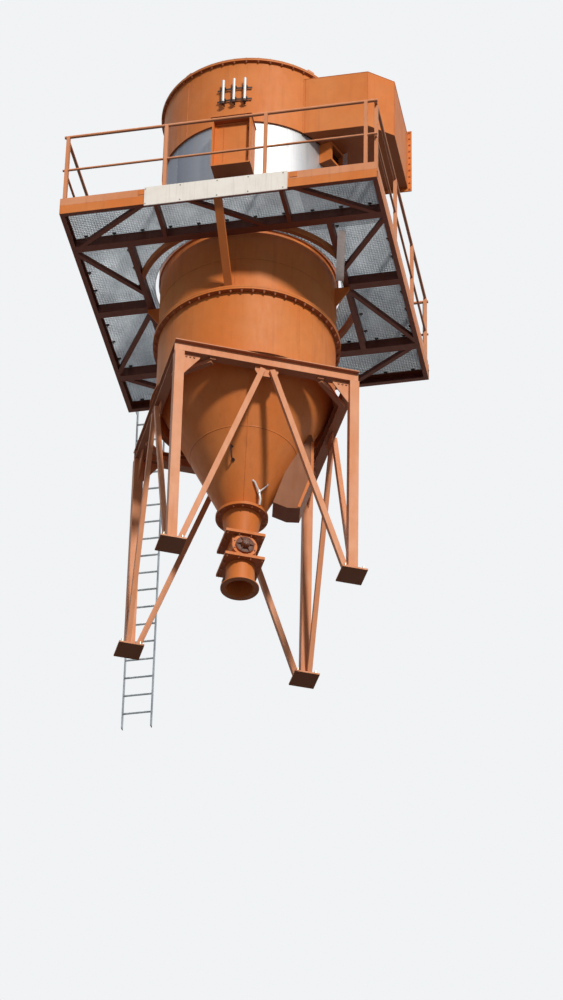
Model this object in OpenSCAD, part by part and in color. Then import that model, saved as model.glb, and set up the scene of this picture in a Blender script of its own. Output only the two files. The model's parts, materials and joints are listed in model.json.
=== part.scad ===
// Cyclone separator: round barrel with a side inlet, cone and discharge valve, carried by a braced
// steel frame on four legs, with a square service platform and handrails around the barrel.
// Millimetres. +Z up, ground level at z = 0, the barrel axis on Z, the support frame square to X and Y.

/* [Support frame] */
// how far the ring beams' outer faces stand outside the lower drum
frame_out = 40; // [0:5:55]
// top of the ring beams above the ground
ring_top = 3190; // [2600:10:3800]
// depth of the ring beams
ring_h = 180; // [140:10:240]
// flange width of the ring beams
ring_b = 120; // [90:5:160]
// flange thickness of the ring beams
ring_tf = 14; // [8:1:20]
// web thickness of the ring beams
ring_tw = 10; // [6:1:16]
// side of the square legs
leg_b = 120; // [90:5:160]
// side of the base plates
base_b = 320; // [260:10:400]
// thickness of the base plates
base_t = 22; // [15:1:40]
// spacing of the anchor holes in a base plate, both ways
anchor_pitch = 230; // [180:5:300]
// diameter of the anchor holes
anchor_d = 26; // [18:1:36]
// width of the sloping braces
brace_b = 70; // [50:5:100]
// thickness of the gusset plates
gusset_t = 14; // [8:1:20]
// reach of a haunch plate from its leg along the ring beam
haunch_l = 210; // [150:10:320]
// height of a haunch plate at its leg
haunch_h = 330; // [220:10:450]
// reach of the corner braces from a leg's middle, in plan
corner_reach = 430; // [300:10:600]
// width of the corner braces
corner_b = 60; // [40:5:90]
// width of the gusset plate in the middle of a ring beam
apex_w = 300; // [220:10:400]
// height of the gusset plate in the middle of a ring beam
apex_h = 150; // [120:10:220]
// how far the two braces stand apart at the gusset plate
apex_gap = 120; // [90:5:180]

/* [Body] */
// outer radius of the upper drum
upper_r = 1150; // [1050:5:1250]
// how much smaller the lower drum's radius is
drum_step = 5; // [0:1:20]
// how far the sheet cladding stands out from the upper drum
clad_out = 22; // [12:1:40]
// how far the head stands out from the upper drum
head_out = 50; // [45:1:90]
// wall thickness of the shells
wall = 8; // [6:1:16]
// underside of the bolted flange between the drums
mid_flange_z = 4225; // [3900:5:4500]
// thickness of one half of that flange
mid_flange_t = 30; // [20:1:40]
// how far that flange stands out from the upper drum
mid_flange_out = 62; // [40:1:90]
// level where the head starts
head_z = 7140; // [6800:10:7500]
// top of the head flange
head_top = 8236; // [7800:2:8700]
// thickness of the head flange
head_flange_t = 26; // [15:1:40]
// how far the head flange and roof stand out from the head
roof_out = 42; // [25:1:80]
// thickness of the roof plate
roof_t = 14; // [8:1:25]
// outer radius of the gas outlet tube
outlet_r = 480; // [350:10:600]
// height of the outlet tube above the roof
outlet_up = 340; // [200:10:420]
// lower end of the outlet tube inside the barrel
outlet_low = 6900; // [6500:10:7100]
// distance of the outlet flange's bolt circle outside the tube
outlet_bolt_out = 32; // [24:1:60]

/* [Cone and discharge] */
// level of the cone's upper edge
cone_top = 3400; // [3250:10:3600]
// level of the cone's lower edge
cone_low = 1500; // [1200:10:1900]
// outer radius of the cone at its lower edge
cone_r = 250; // [180:5:350]
// outer radius of the cone's outlet flange
cone_flange_r = 330; // [280:5:420]
// underside of the hopper below the cone
hopper_low = 1080; // [900:10:1300]
// side of the square valve flanges
valve_b = 500; // [380:10:600]
// underside of the rotary valve
valve_low = 720; // [600:10:900]
// radius of the valve's round body
valve_r = 160; // [110:5:180]
// outer radius of the discharge spout
spout_r = 180; // [120:5:220]
// lower end of the discharge spout
spout_low = 380; // [200:10:600]
// direction of the side chute, turned from +X
chute_turn = -12; // [-30:1:30]
// width of the side chute
chute_b = 300; // [200:10:400]
// level of the side chute's upper edge
chute_top = 2740; // [2600:10:2900]
// level of the side chute's lower end
chute_low = 1560; // [1520:10:1900]
// how far the side chute stands out from the cone at its upper edge
chute_out = 51; // [30:1:120]

/* [Inlet] */
// turn of the platform, inlet and boxes against the support frame
deck_turn = -25.5; // [-45:0.5:45]
// how far the inlet's flat front lies inside the head's radius
inlet_in = 350; // [250:10:450]
// how far the inlet's outer side stands out from the head
inlet_out = 830; // [650:10:1000]
// distance of the inlet's mouth behind the axis
inlet_back = 450; // [300:10:700]
// width of the slanted corner of the inlet
inlet_slant = 315; // [200:5:450]
// depth of the slanted corner of the inlet
inlet_slant_d = 250; // [150:5:350]
// underside of the inlet
inlet_low = 7125; // [6900:5:7300]
// top of the inlet
inlet_top = 8100; // [7800:10:8150]
// width of the rim around the mouth
inlet_rim = 56; // [30:2:70]

/* [Platform] */
// underside of the platform steelwork
deck_low = 5100; // [4800:10:5400]
// how far the platform's sides stand out from the upper drum
walk_u = 900; // [700:10:1200]
// how far the platform's front and back stand out from the upper drum
walk_v = 870; // [700:10:1200]
// depth of the platform beams
deck_beam_h = 140; // [100:5:200]
// width of the edge channels
edge_b = 60; // [40:2:80]
// distance of the two cross beams from the upper drum
cross_out = 160; // [125:5:300]
// width of the cross beams
cross_b = 115; // [80:5:140]
// distance of the two long beams from the upper drum
long_out = 150; // [100:5:300]
// width of the long and short beams
long_b = 70; // [50:5:100]
// width of the diagonals
diag_b = 55; // [40:5:80]
// distance of the corner arcs around the barrel from the upper drum
arc_out = 265; // [180:5:400]
// distance of the short front and back beams from the platform's middle
short_u = 810; // [600:10:1000]
// thickness of the grating
grating_t = 30; // [25:1:50]
// how far the hole in the grating stands out from the upper drum
grating_out = 65; // [40:1:140]
// top of the toe board above the grating
toe_h = 90; // [60:5:150]
// top of the handrail above the grating
rail_h = 1200; // [1000:10:1300]
// side of the handrail posts
post_b = 44; // [30:1:60]
// diameter of the top rail
rail_d = 42; // [30:1:60]
// diameter of the middle rail
mid_rail_d = 32; // [20:1:45]
// width of the blank board on the front edge
board_w = 1850; // [1200:10:2200]
// height of the blank board
board_h = 310; // [200:5:350]

/* [Ladder] */
// distance between the ladder stiles
ladder_b = 380; // [340:5:500]
// distance of the ladder's middle from the platform's left side
ladder_in = 280; // [250:5:500]
// distance of the ladder behind the platform edge
ladder_gap = 150; // [120:5:250]
// spacing of the rungs
rung_step = 280; // [250:5:300]
// diameter of the rungs
rung_d = 26; // [20:1:34]

/* [Boxes] */
// width of the front inspection box
box_w = 520; // [400:10:700]
// height of the front inspection box
box_h = 820; // [500:10:900]
// underside of the front inspection box
box_low = 6190; // [5800:10:6300]
// how far its front stands out from the cladding
box_out = 248; // [140:2:320]
// distance of its middle from the platform's middle
box_u = 20; // [-200:5:200]
// direction of the side box, turned from the platform's front
side_box_turn = 69; // [50:1:90]
// width of the side box
side_box_w = 340; // [200:10:450]
// height of the side box
side_box_h = 320; // [200:10:450]
// how far the side box stands out from the cladding
side_box_out = 170; // [120:5:260]

/* [Tubes and lugs] */
// diameter of the three upright tubes on the head
bank_d = 38; // [25:1:50]
// length of those tubes
bank_l = 430; // [300:10:500]
// level of their lower ends
bank_z = 7430; // [7300:10:7500]
// angle between two neighbouring tubes around the barrel
bank_step = 6.6; // [5:0.1:9]
// height of a lifting lug
lug_h = 130; // [90:5:180]
// diameter of the hole in a lifting lug
lug_d = 42; // [25:1:50]

/* [Hidden] */
$fn = 240;
gap = 0.3;
ring_low = ring_top - ring_h;
drum_r = upper_r - drum_step;
frame_half = drum_r + frame_out;
leg_c = frame_half - ring_b / 2;
clad_r = upper_r + clad_out;
head_r = upper_r + head_out;
roof_r = head_r + roof_out;
mid_flange_r = upper_r + mid_flange_out;
outlet_pcr = outlet_r + outlet_bolt_out;
inlet_front = head_r - inlet_in;
inlet_side = head_r + inlet_out;
deck_hu = upper_r + walk_u;
deck_hv = upper_r + walk_v;
cross_v = upper_r + cross_out;
long_u = upper_r + long_out;
arc_r = upper_r + arc_out;
grating_r = upper_r + grating_out;
box_front = clad_r + box_out;
deck_top = deck_low + deck_beam_h;
floor_z = deck_top + gap + grating_t;
rail_z = floor_z + rail_h;
mid_rail_z = floor_z + rail_h / 2;
toe_z = floor_z + toe_h;
roof_z = head_top + gap;
cone_in = drum_r - wall - gap;
cone_slope = (cone_in - cone_r) / (cone_top - cone_low);
chute_face = cone_at(chute_top) + chute_out;
ladder_u = ladder_in - deck_hu;
ladder_v = deck_hv + ladder_gap;
orange = [0.82, 0.46, 0.22];
brown = [0.40, 0.20, 0.14];
silver = [0.78, 0.80, 0.82];
zinc = [0.66, 0.70, 0.73];
white = [0.90, 0.89, 0.86];

// outer radius of the cone at a level
function cone_at(z) = cone_r + (z - cone_low) * cone_slope;

module deck() {
  rotate([0, 0, deck_turn]) children();
}

// box given by its two corners
module slab(a, b) {
  translate(a) cube(b - a);
}

// flat bar from point a to point b in plan, b wide, between two levels
module plan_bar(a, b, width, z0, z1) {
  d = b - a;
  translate([a[0], a[1], z0])
    rotate([0, 0, atan2(d[1], d[0])])
      translate([0, -width / 2, 0]) cube([norm(d), width, z1 - z0]);
}

// bar in the XZ plane from a to b, thick along Y
module face_bar(a, b, width, thick) {
  d = b - a;
  translate([a[0], 0, a[1]])
    rotate([0, -atan2(d[1], d[0]), 0])
      translate([0, -thick / 2, -width / 2]) cube([norm(d), thick, width]);
}

module tube(r, t, z0, z1) {
  difference() {
    translate([0, 0, z0]) cylinder(r = r, h = z1 - z0);
    translate([0, 0, z0 - 1]) cylinder(r = r - t, h = z1 - z0 + 2);
  }
}

module i_beam(l) {
  rotate([90, 0, 90]) linear_extrude(height = l) {
    translate([-ring_b / 2, 0]) square([ring_b, ring_tf]);
    translate([-ring_b / 2, ring_h - ring_tf]) square([ring_b, ring_tf]);
    translate([-ring_tw / 2, 0]) square([ring_tw, ring_h]);
  }
}

// one leg at the origin, its haunches towards +X and +Y
module leg() {
  top = ring_low - gap;
  difference() {
    slab([-base_b / 2, -base_b / 2, 0], [base_b / 2, base_b / 2, base_t]);
    for (x = [-1, 1], y = [-1, 1])
      translate([x * anchor_pitch / 2, y * anchor_pitch / 2, -1]) cylinder(d = anchor_d, h = base_t + 2);
  }
  slab([-leg_b / 2, -leg_b / 2, base_t - 1], [leg_b / 2, leg_b / 2, top]);
  haunch();
  mirror([1, -1, 0]) haunch();
}

module haunch() {
  top = ring_low - gap;
  translate([0, gusset_t / 2, 0]) rotate([90, 0, 0]) linear_extrude(height = gusset_t)
    polygon([[0, top], [leg_b / 2 + haunch_l, top], [leg_b / 2 + haunch_l, top - 40], [leg_b / 2, top - haunch_h],
      [0, top - haunch_h]]);
}

module leg_front_left() {
  color(orange) translate([-leg_c, -leg_c, 0]) leg();
}

module leg_front_right() {
  color(orange) translate([leg_c, -leg_c, 0]) mirror([1, 0, 0]) leg();
}

module leg_back_left() {
  color(orange) translate([-leg_c, leg_c, 0]) mirror([0, 1, 0]) leg();
}

module leg_back_right() {
  color(orange) translate([leg_c, leg_c, 0]) rotate([0, 0, 180]) leg();
}

// gusset plate under the middle of a ring beam
module apex_plate() {
  translate([0, gusset_t / 2, 0]) rotate([90, 0, 0]) linear_extrude(height = gusset_t)
    polygon([[-apex_w / 2, ring_low + 2], [apex_w / 2, ring_low + 2], [apex_w / 2, ring_low - apex_h * 0.4],
      [apex_w / 2 - 55, ring_low - apex_h], [55 - apex_w / 2, ring_low - apex_h],
      [-apex_w / 2, ring_low - apex_h * 0.4]]);
}

// full length beam with its two corner braces in plan
module ring_end() {
  reach = corner_reach;
  translate([-frame_half, 0, ring_low]) i_beam(2 * frame_half);
  apex_plate();
  for (s = [-1, 1]) {
    plan_bar([s * (leg_c - reach), 20], [s * (leg_c - 20), reach], corner_b, ring_low - 55, ring_low - gap);
    slab([s * (leg_c - reach) - 40, -22, ring_low - 25], [s * (leg_c - reach) + 40, 48, ring_low + 6]);
  }
}

module ring_front() {
  color(orange) translate([0, -leg_c, 0]) ring_end();
}

module ring_back() {
  color(orange) rotate([0, 0, 180]) translate([0, -leg_c, 0]) ring_end();
}

module ring_side() {
  l = 2 * (leg_c - ring_b / 2 - gap);
  translate([-l / 2, 0, ring_low]) i_beam(l);
  apex_plate();
}

module ring_left() {
  color(orange) translate([-leg_c, 0, 0]) rotate([0, 0, 90]) ring_side();
}

module ring_right() {
  color(orange) translate([leg_c, 0, 0]) rotate([0, 0, -90]) ring_side();
}

// inverted V of two braces from the gusset plate to the leg feet, lying on the plate's outer face
module chevron() {
  foot_x = leg_c - leg_b / 2 - 70;
  y0 = -gusset_t / 2 - gap;
  t = 60;
  intersection() {
    for (s = [-1, 1])
      translate([0, y0 - t / 2, 0])
        face_bar([s * apex_gap / 2, ring_low - apex_h * 0.4], [s * (foot_x + 60), base_t - 40], brace_b, t);
    slab([-leg_c + leg_b / 2 + gap, y0 - t, base_t + gap], [leg_c - leg_b / 2 - gap, y0, ring_low - gap]);
  }
  slab([50 - apex_w / 2, y0 - 12, ring_low - apex_h], [apex_w / 2 - 50, y0, ring_low - 40]);
}

module chevron_front() {
  color(orange) translate([0, -leg_c, 0]) chevron();
}

module chevron_back() {
  color(orange) rotate([0, 0, 180]) translate([0, -leg_c, 0]) chevron();
}

module chevron_left() {
  color(orange) rotate([0, 0, -90]) translate([0, -leg_c, 0]) chevron();
}

module chevron_right() {
  color(orange) rotate([0, 0, 90]) translate([0, -leg_c, 0]) chevron();
}

module lower_drum() {
  z0 = ring_top + gap;
  z1 = mid_flange_z + mid_flange_t;
  color(orange) {
    tube(drum_r, wall, z0, z1);
    tube(drum_r + 70, 72, z0, z0 + 22);
    tube(mid_flange_r, mid_flange_r - drum_r + 2, mid_flange_z, z1);
  }
}

module cone() {
  ri = cone_r - wall;
  color(orange) rotate_extrude() polygon([
    [cone_in - wall, cone_top + 40], [cone_in, cone_top + 40], [cone_in, cone_top], [cone_r, cone_low],
    [cone_flange_r, cone_low], [cone_flange_r, cone_low - 20], [ri, cone_low - 20], [ri, cone_low],
    [cone_in - wall, cone_top]
  ]);
}

// closed chute lying against the cone
module side_chute() {
  color(brown) rotate([0, 0, chute_turn]) difference() {
    translate([0, chute_b / 2, 0]) rotate([90, 0, 0]) linear_extrude(height = chute_b)
      polygon([[cone_at(chute_top) - 130, chute_top], [cone_at(chute_top) + 21, chute_top],
        [chute_face, chute_top - 140], [chute_face, chute_top - 640], [chute_face - 160, chute_low],
        [chute_face - 320, chute_low], [cone_at(chute_low) + 102, chute_low + 80]]);
    translate([0, 0, cone_low]) cylinder(r1 = cone_r + gap, r2 = cone_in + gap, h = cone_top - cone_low);
  }
}

module hopper() {
  z1 = cone_low - 20 - gap;
  ri = valve_b / 2 - 70;
  color(orange) {
    difference() {
      translate([0, 0, hopper_low]) cylinder(r1 = ri, r2 = cone_r, h = z1 - hopper_low);
      translate([0, 0, hopper_low - 1]) cylinder(r1 = ri - wall, r2 = cone_r - wall, h = z1 - hopper_low + 2);
    }
    tube(cone_flange_r, cone_flange_r - cone_r + wall, z1 - 20, z1);
    difference() {
      slab([-valve_b / 2, -valve_b / 2, hopper_low], [valve_b / 2, valve_b / 2, hopper_low + 20]);
      translate([0, 0, hopper_low - 1]) cylinder(r = ri - 4, h = 30);
    }
  }
}

// closed valve housing with a cross body between two square flanges
module rotary_valve() {
  z1 = hopper_low - gap;
  zc = (z1 + valve_low) / 2;
  color(orange) {
    slab([-valve_b / 2, -valve_b / 2, z1 - 20], [valve_b / 2, valve_b / 2, z1]);
    slab([-valve_b / 2, -valve_b / 2, valve_low], [valve_b / 2, valve_b / 2, valve_low + 20]);
    slab([-150, -170, valve_low + 10], [150, 170, z1 - 10]);
    translate([0, 210, zc]) rotate([90, 0, 0]) cylinder(r = valve_r, h = 420);
    translate([0, -208, zc]) rotate([90, 0, 0]) cylinder(r = valve_r - 40, h = 20);
    translate([0, -226, zc]) rotate([90, 0, 0]) cylinder(r = 55, h = 50);
  }
}

module valve_drive() {
  zc = (hopper_low - gap + valve_low) / 2;
  y0 = 210 + gap;
  color(brown) {
    slab([-95, y0, zc - 110], [95, y0 + 130, zc + 110]);
    translate([0, y0 + 125, zc]) rotate([-90, 0, 0]) cylinder(r = 88, h = 260);
    slab([60, y0 + 190, zc - 45], [125, y0 + 300, zc + 45]);
  }
}

module spout() {
  z1 = valve_low - gap;
  color(orange) {
    tube(spout_r, wall, spout_low, z1);
    tube(spout_r + 60, 62, spout_low, spout_low + 18);
    difference() {
      slab([-valve_b / 2, -valve_b / 2, z1 - 20], [valve_b / 2, valve_b / 2, z1]);
      translate([0, 0, z1 - 30]) cylinder(r = spout_r - wall, h = 40);
    }
  }
}

// barrel shell with its lower flange and the two platform brackets
module upper_drum() {
  z0 = mid_flange_z + mid_flange_t + gap;
  bracket_out = long_u + long_b / 2;
  color(orange) {
    tube(upper_r, wall, z0, head_z);
    tube(mid_flange_r, mid_flange_r - upper_r + 2, z0, z0 + mid_flange_t);
    deck() for (s = [0, 180]) rotate([0, 0, s])
      translate([0, 11, 0]) rotate([90, 0, 0]) linear_extrude(height = 22)
        polygon([[upper_r - 4, deck_low - gap], [bracket_out, deck_low - gap], [bracket_out, deck_low - 50],
          [upper_r - 4, deck_low - 330]]);
  }
}

module cladding() {
  color(silver) tube(clad_r, clad_r - upper_r - gap, floor_z + 12, head_z - gap);
}

module inlet_path() {
  polygon([[head_r / 2 - 100, -inlet_front + wall], [inlet_side - inlet_slant - 3, -inlet_front + wall],
    [inlet_side - wall, -inlet_front + inlet_slant_d + 4], [inlet_side - wall, inlet_back + 20],
    [head_r + wall + 1, inlet_back + 20], [head_r + wall + 1, 30], [head_r - 60, -100], [head_r / 2 - 100, -100]]);
}

module inlet_hollow() {
  translate([0, 0, inlet_low + wall]) linear_extrude(height = inlet_top - inlet_low - 2 * wall) inlet_path();
}

// head shell: closing ring below, flange above and the window where the inlet joins
module head() {
  z0 = head_z + gap;
  color(orange) difference() {
    union() {
      tube(head_r, wall, z0, head_top);
      tube(head_r - 2, head_r - 2 - upper_r + wall, z0, z0 + 12);
      tube(roof_r, roof_r - head_r + 2, head_top - head_flange_t, head_top);
    }
    deck() inlet_hollow();
  }
}

module inlet() {
  color(orange) deck() difference() {
    union() {
      translate([0, 0, inlet_low]) linear_extrude(height = inlet_top - inlet_low)
        polygon([[head_r / 2, -inlet_front], [inlet_side - inlet_slant, -inlet_front],
          [inlet_side, -inlet_front + inlet_slant_d],
          [inlet_side, inlet_back], [head_r + 1, inlet_back], [head_r + 1, 0], [head_r / 2, 0]]);
      slab([head_r + 1 - inlet_rim, inlet_back - 14, inlet_low - inlet_rim],
        [inlet_side + inlet_rim, inlet_back, inlet_top + inlet_rim]);
    }
    inlet_hollow();
    translate([0, 0, inlet_low - 100]) cylinder(r = head_r + gap, h = inlet_top - inlet_low + 200);
  }
}

module lug() {
  difference() {
    translate([0, 10, 0]) rotate([90, 0, 0]) linear_extrude(height = 20)
      polygon([[-75, 0], [75, 0], [50, lug_h], [-50, lug_h]]);
    translate([0, 20, lug_h - 48]) rotate([90, 0, 0]) cylinder(d = lug_d, h = 40);
  }
}

// roof plate with the gas outlet tube through it and four lifting lugs
module roof() {
  z1 = roof_z + roof_t;
  ztop = z1 + outlet_up;
  color(orange) {
    tube(roof_r, roof_r - outlet_r + 2, roof_z, z1);
    tube(outlet_r, wall, outlet_low, ztop);
    difference() {
      tube(outlet_pcr + 38, outlet_pcr + 38 - outlet_r + 2, ztop - 20, ztop);
      for (a = [0 : 30 : 330]) rotate([0, 0, a]) translate([outlet_pcr, 0, ztop - 30]) cylinder(d = 18, h = 40);
    }
    for (a = [27 : 90 : 297]) rotate([0, 0, a]) translate([roof_r - 90, 0, z1 - 1]) rotate([0, 0, 90]) lug();
  }
}

// open fronted box with a set back panel, at the front of the platform
module hood(w, h, z0, front, panel_back, t, u = 0) {
  difference() {
    slab([u - w / 2, -front, z0], [u + w / 2, -clad_r + 80, z0 + h]);
    slab([u - w / 2 + t, -front - 1, z0 + t], [u + w / 2 - t, -front + panel_back, z0 + h - t]);
    slab([u - w / 2 + t, -front + panel_back + 12, z0 + t], [u + w / 2 - t, -clad_r / 2, z0 + h - t]);
    translate([0, 0, z0 - 1]) cylinder(r = clad_r + gap, h = h + 2);
  }
}

module inspection_box() {
  color(orange) deck() hood(box_w, box_h, box_low, box_front, 90, 22, box_u);
}

module side_box() {
  z1 = inlet_low - gap;
  color(orange) deck() rotate([0, 0, side_box_turn])
    hood(side_box_w, side_box_h, z1 - side_box_h, clad_r + side_box_out, 100, 40);
}

// three upright tubes on two clamp bars
module tube_bank() {
  color(zinc) deck() {
    for (a = [-bank_step, 0, bank_step]) rotate([0, 0, a]) {
      translate([0, -head_r - 62, bank_z]) cylinder(d = bank_d, h = bank_l);
      for (z = [bank_z + 90, bank_z + 290])
        slab([-28, -head_r - 90, z - 22], [28, -head_r - 0.8, z + 22]);
    }
    for (z = [bank_z + 90, bank_z + 290]) difference() {
      tube(head_r + 42, 26, z - 14, z + 14);
      rotate([0, 0, 11]) slab([0, -2000, z - 20], [2000, 2000, z + 20]);
      rotate([0, 0, -11]) slab([-2000, -2000, z - 20], [0, 2000, z + 20]);
    }
  }
}

// edge channel: web outside, flanges towards the middle
module edge_channel(l, side) {
  translate([-l / 2, 0, deck_low]) rotate([90, 0, 90]) linear_extrude(height = l) {
    square([8, deck_beam_h]);
    square([edge_b, 10]);
    translate([0, deck_beam_h - 10]) square([edge_b, 10]);
  }
}

module deck_bar(a, b, width) {
  plan_bar(a, b, width, deck_low, deck_top);
}

// front bay of the platform: edge channel, cross beam, two short beams and three diagonals
module deck_end() {
  v0 = -deck_hv + 4;
  v1 = -cross_v + 10;
  translate([0, -deck_hv, 0]) edge_channel(2 * deck_hu, 0);
  slab([-deck_hu + edge_b + gap, -cross_v - cross_b / 2, deck_low],
    [deck_hu - edge_b - gap, -cross_v + cross_b / 2, deck_top]);
  for (s = [-1, 1]) deck_bar([s * short_u, v0], [s * short_u, v1], 50);
  // the diagonals end inside the channel's web
  intersection() {
    slab([-deck_hu, v0, 0], [deck_hu, 0, 9000]);
    union() {
      plan_bar([-430, v0], [560, v1], diag_b, deck_low, deck_low + 60);
      for (s = [-1, 1])
        plan_bar([s * (short_u + 120), v0], [s * (deck_hu - edge_b - 40), -cross_v - 20], diag_b, deck_low,
          deck_low + 60);
    }
  }
}

module deck_front() {
  color(brown) deck() deck_end();
}

module deck_back() {
  color(brown) deck() mirror([0, 1, 0]) deck_end();
}

// side bay: edge channel, long beam, middle stub, two diagonals and the corner arcs
module deck_side() {
  y = deck_hv - edge_b - gap;
  inner = cross_v - cross_b / 2 - gap;
  x0 = deck_hu;
  intersection() {
    union() {
      translate([x0, 0, 0]) rotate([0, 0, 90]) edge_channel(2 * y, 0);
      slab([long_u - long_b / 2, -inner, deck_low], [long_u + long_b / 2, inner, deck_top]);
      deck_bar([long_u, 0], [x0 - 4, 0], cross_b);
      plan_bar([x0 - 30, -inner + 20], [long_u, -300], diag_b, deck_low, deck_low + 60);
      plan_bar([long_u, 60], [x0 - 30, inner - 20], diag_b, deck_low, deck_low + 60);
      difference() {
        tube(arc_r + 30, 60, deck_low, deck_low + 90);
        slab([-3 * arc_r, -3 * arc_r, 0], [300, 3 * arc_r, 9000]);
        slab([long_u, -3 * arc_r, 0], [3 * arc_r, 3 * arc_r, 9000]);
      }
    }
    union() {
      slab([300, -inner, 0], [long_u + 200, inner, 9000]);
      slab([long_u + 100, -y, 0], [x0, y, 9000]);
    }
  }
}

module deck_left() {
  color(brown) deck() mirror([1, 0, 0]) deck_side();
}

module deck_right() {
  color(brown) deck() deck_side();
}

module grating_end() {
  z0 = deck_top + gap;
  slab([-deck_hu + edge_b, -deck_hv + edge_b, z0], [deck_hu - edge_b, -cross_v, z0 + grating_t]);
}

module grating_front() {
  color(zinc) deck() grating_end();
}

module grating_back() {
  color(zinc) deck() mirror([0, 1, 0]) grating_end();
}

module grating_side() {
  z0 = deck_top + gap;
  difference() {
    slab([gap, -cross_v + gap, z0], [deck_hu - edge_b, cross_v - gap, z0 + grating_t]);
    translate([0, 0, z0 - 1]) cylinder(r = grating_r, h = grating_t + 2);
  }
}

module grating_left() {
  color(zinc) deck() mirror([1, 0, 0]) grating_side();
}

module grating_right() {
  color(zinc) deck() grating_side();
}

// one side of the handrail along X: posts, two rails and the toe board
module handrail(x0, x1, posts, toe0, toe1) {
  z0 = deck_top + gap;
  yc = edge_b / 2;
  for (x = posts) slab([x - post_b / 2, yc - post_b / 2, z0], [x + post_b / 2, yc + post_b / 2, rail_z - rail_d / 2]);
  translate([x0, yc, rail_z - rail_d / 2]) rotate([0, 90, 0]) cylinder(d = rail_d, h = x1 - x0, $fn = 32);
  translate([x0, yc, mid_rail_z]) rotate([0, 90, 0]) cylinder(d = mid_rail_d, h = x1 - x0, $fn = 32);
  slab([toe0, 0, z0], [toe1, yc - post_b / 2 + 1, toe_z]);
}

module handrail_front() {
  color(orange) deck() translate([0, -deck_hv, 0])
    handrail(-deck_hu, deck_hu, [50 - deck_hu, -700, 600, deck_hu - 150], -deck_hu, deck_hu);
}

module handrail_back() {
  x1 = ladder_u + ladder_b / 2 + 130;
  color(orange) deck() translate([0, deck_hv, 0]) rotate([0, 0, 180])
    handrail(-deck_hu, -x1, [50 - deck_hu, -900, 300, -x1 - 40], -deck_hu, -x1);
}

module handrail_left() {
  l = deck_hv - edge_b - gap;
  color(orange) deck() translate([-deck_hu, 0, 0]) rotate([0, 0, -90])
    handrail(-l, l, [40 - l, -800, 480, l - 60], -l, l);
}

module handrail_right() {
  l = deck_hv - edge_b - gap;
  color(orange) deck() translate([deck_hu, 0, 0]) rotate([0, 0, 90])
    handrail(-l, l, [60 - l, -480, 830, l - 40], -l, l);
}

module front_board() {
  color(white) deck()
    slab([-board_w / 2 - 20, -deck_hv - gap - 12, deck_low - 35], [board_w / 2 - 20, -deck_hv - gap, deck_low - 35 + board_h]);
}

// strut from the platform's edge channel down to the bolted flange
module knee() {
  z1 = mid_flange_z + 2 * mid_flange_t + 2 * gap;
  translate([-50, 0, 0]) rotate([90, 0, 90]) linear_extrude(height = 100)
    polygon([[-deck_hv + 10, deck_low - gap], [-deck_hv + 110, deck_low - gap], [-upper_r - 12, z1 + 40],
      [-upper_r - 12, z1], [-mid_flange_r + 4, z1]]);
}

module knee_front() {
  color(orange) deck() knee();
}

module knee_back() {
  color(orange) deck() mirror([0, 1, 0]) knee();
}

module ladder() {
  count = floor((floor_z - 200) / rung_step);
  top = rail_z - 60;
  color(zinc) deck() translate([ladder_u, ladder_v, 0]) {
    for (s = [-1, 1]) {
      slab([s * ladder_b / 2 - 6, -32, 0], [s * ladder_b / 2 + 6, 32, top]);
      slab([s * ladder_b / 2 - 6, -ladder_gap + gap, deck_low + 30], [s * ladder_b / 2 + 6, -20, deck_low + 90]);
    }
    for (i = [1 : count + 1])
      translate([-ladder_b / 2, 0, floor_z - (count + 1 - i) * rung_step]) rotate([0, 90, 0])
        cylinder(d = rung_d, h = ladder_b, $fn = 24);
  }
}

leg_front_left();
leg_front_right();
leg_back_left();
leg_back_right();
ring_front();
ring_back();
ring_left();
ring_right();
chevron_front();
chevron_back();
chevron_left();
chevron_right();
lower_drum();
cone();
side_chute();
hopper();
rotary_valve();
valve_drive();
spout();
upper_drum();
cladding();
head();
roof();
inlet();
inspection_box();
side_box();
tube_bank();
deck_front();
deck_back();
deck_left();
deck_right();
grating_front();
grating_back();
grating_left();
grating_right();
handrail_front();
handrail_back();
handrail_left();
handrail_right();
front_board();
knee_front();
knee_back();
ladder();
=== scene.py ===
"""Dressed scene of a cyclone separator on a braced leg frame with a railed service platform.

Metres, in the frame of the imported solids: +Z up, ground level at z = 0, the barrel axis on Z.
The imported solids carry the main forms. This file gives every surface its finish and adds the small
parts: grating bars, clips, bolts, weld beads, laps, rivets, clamps, handles and motor fins.
"""

from __future__ import annotations

import json
import logging
import math
from dataclasses import dataclass, field
from enum import Enum
from functools import cached_property
from itertools import product
from typing import Iterable, NamedTuple, Sequence, Union

import bmesh
import bpy
from mathutils import Matrix, Vector

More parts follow.
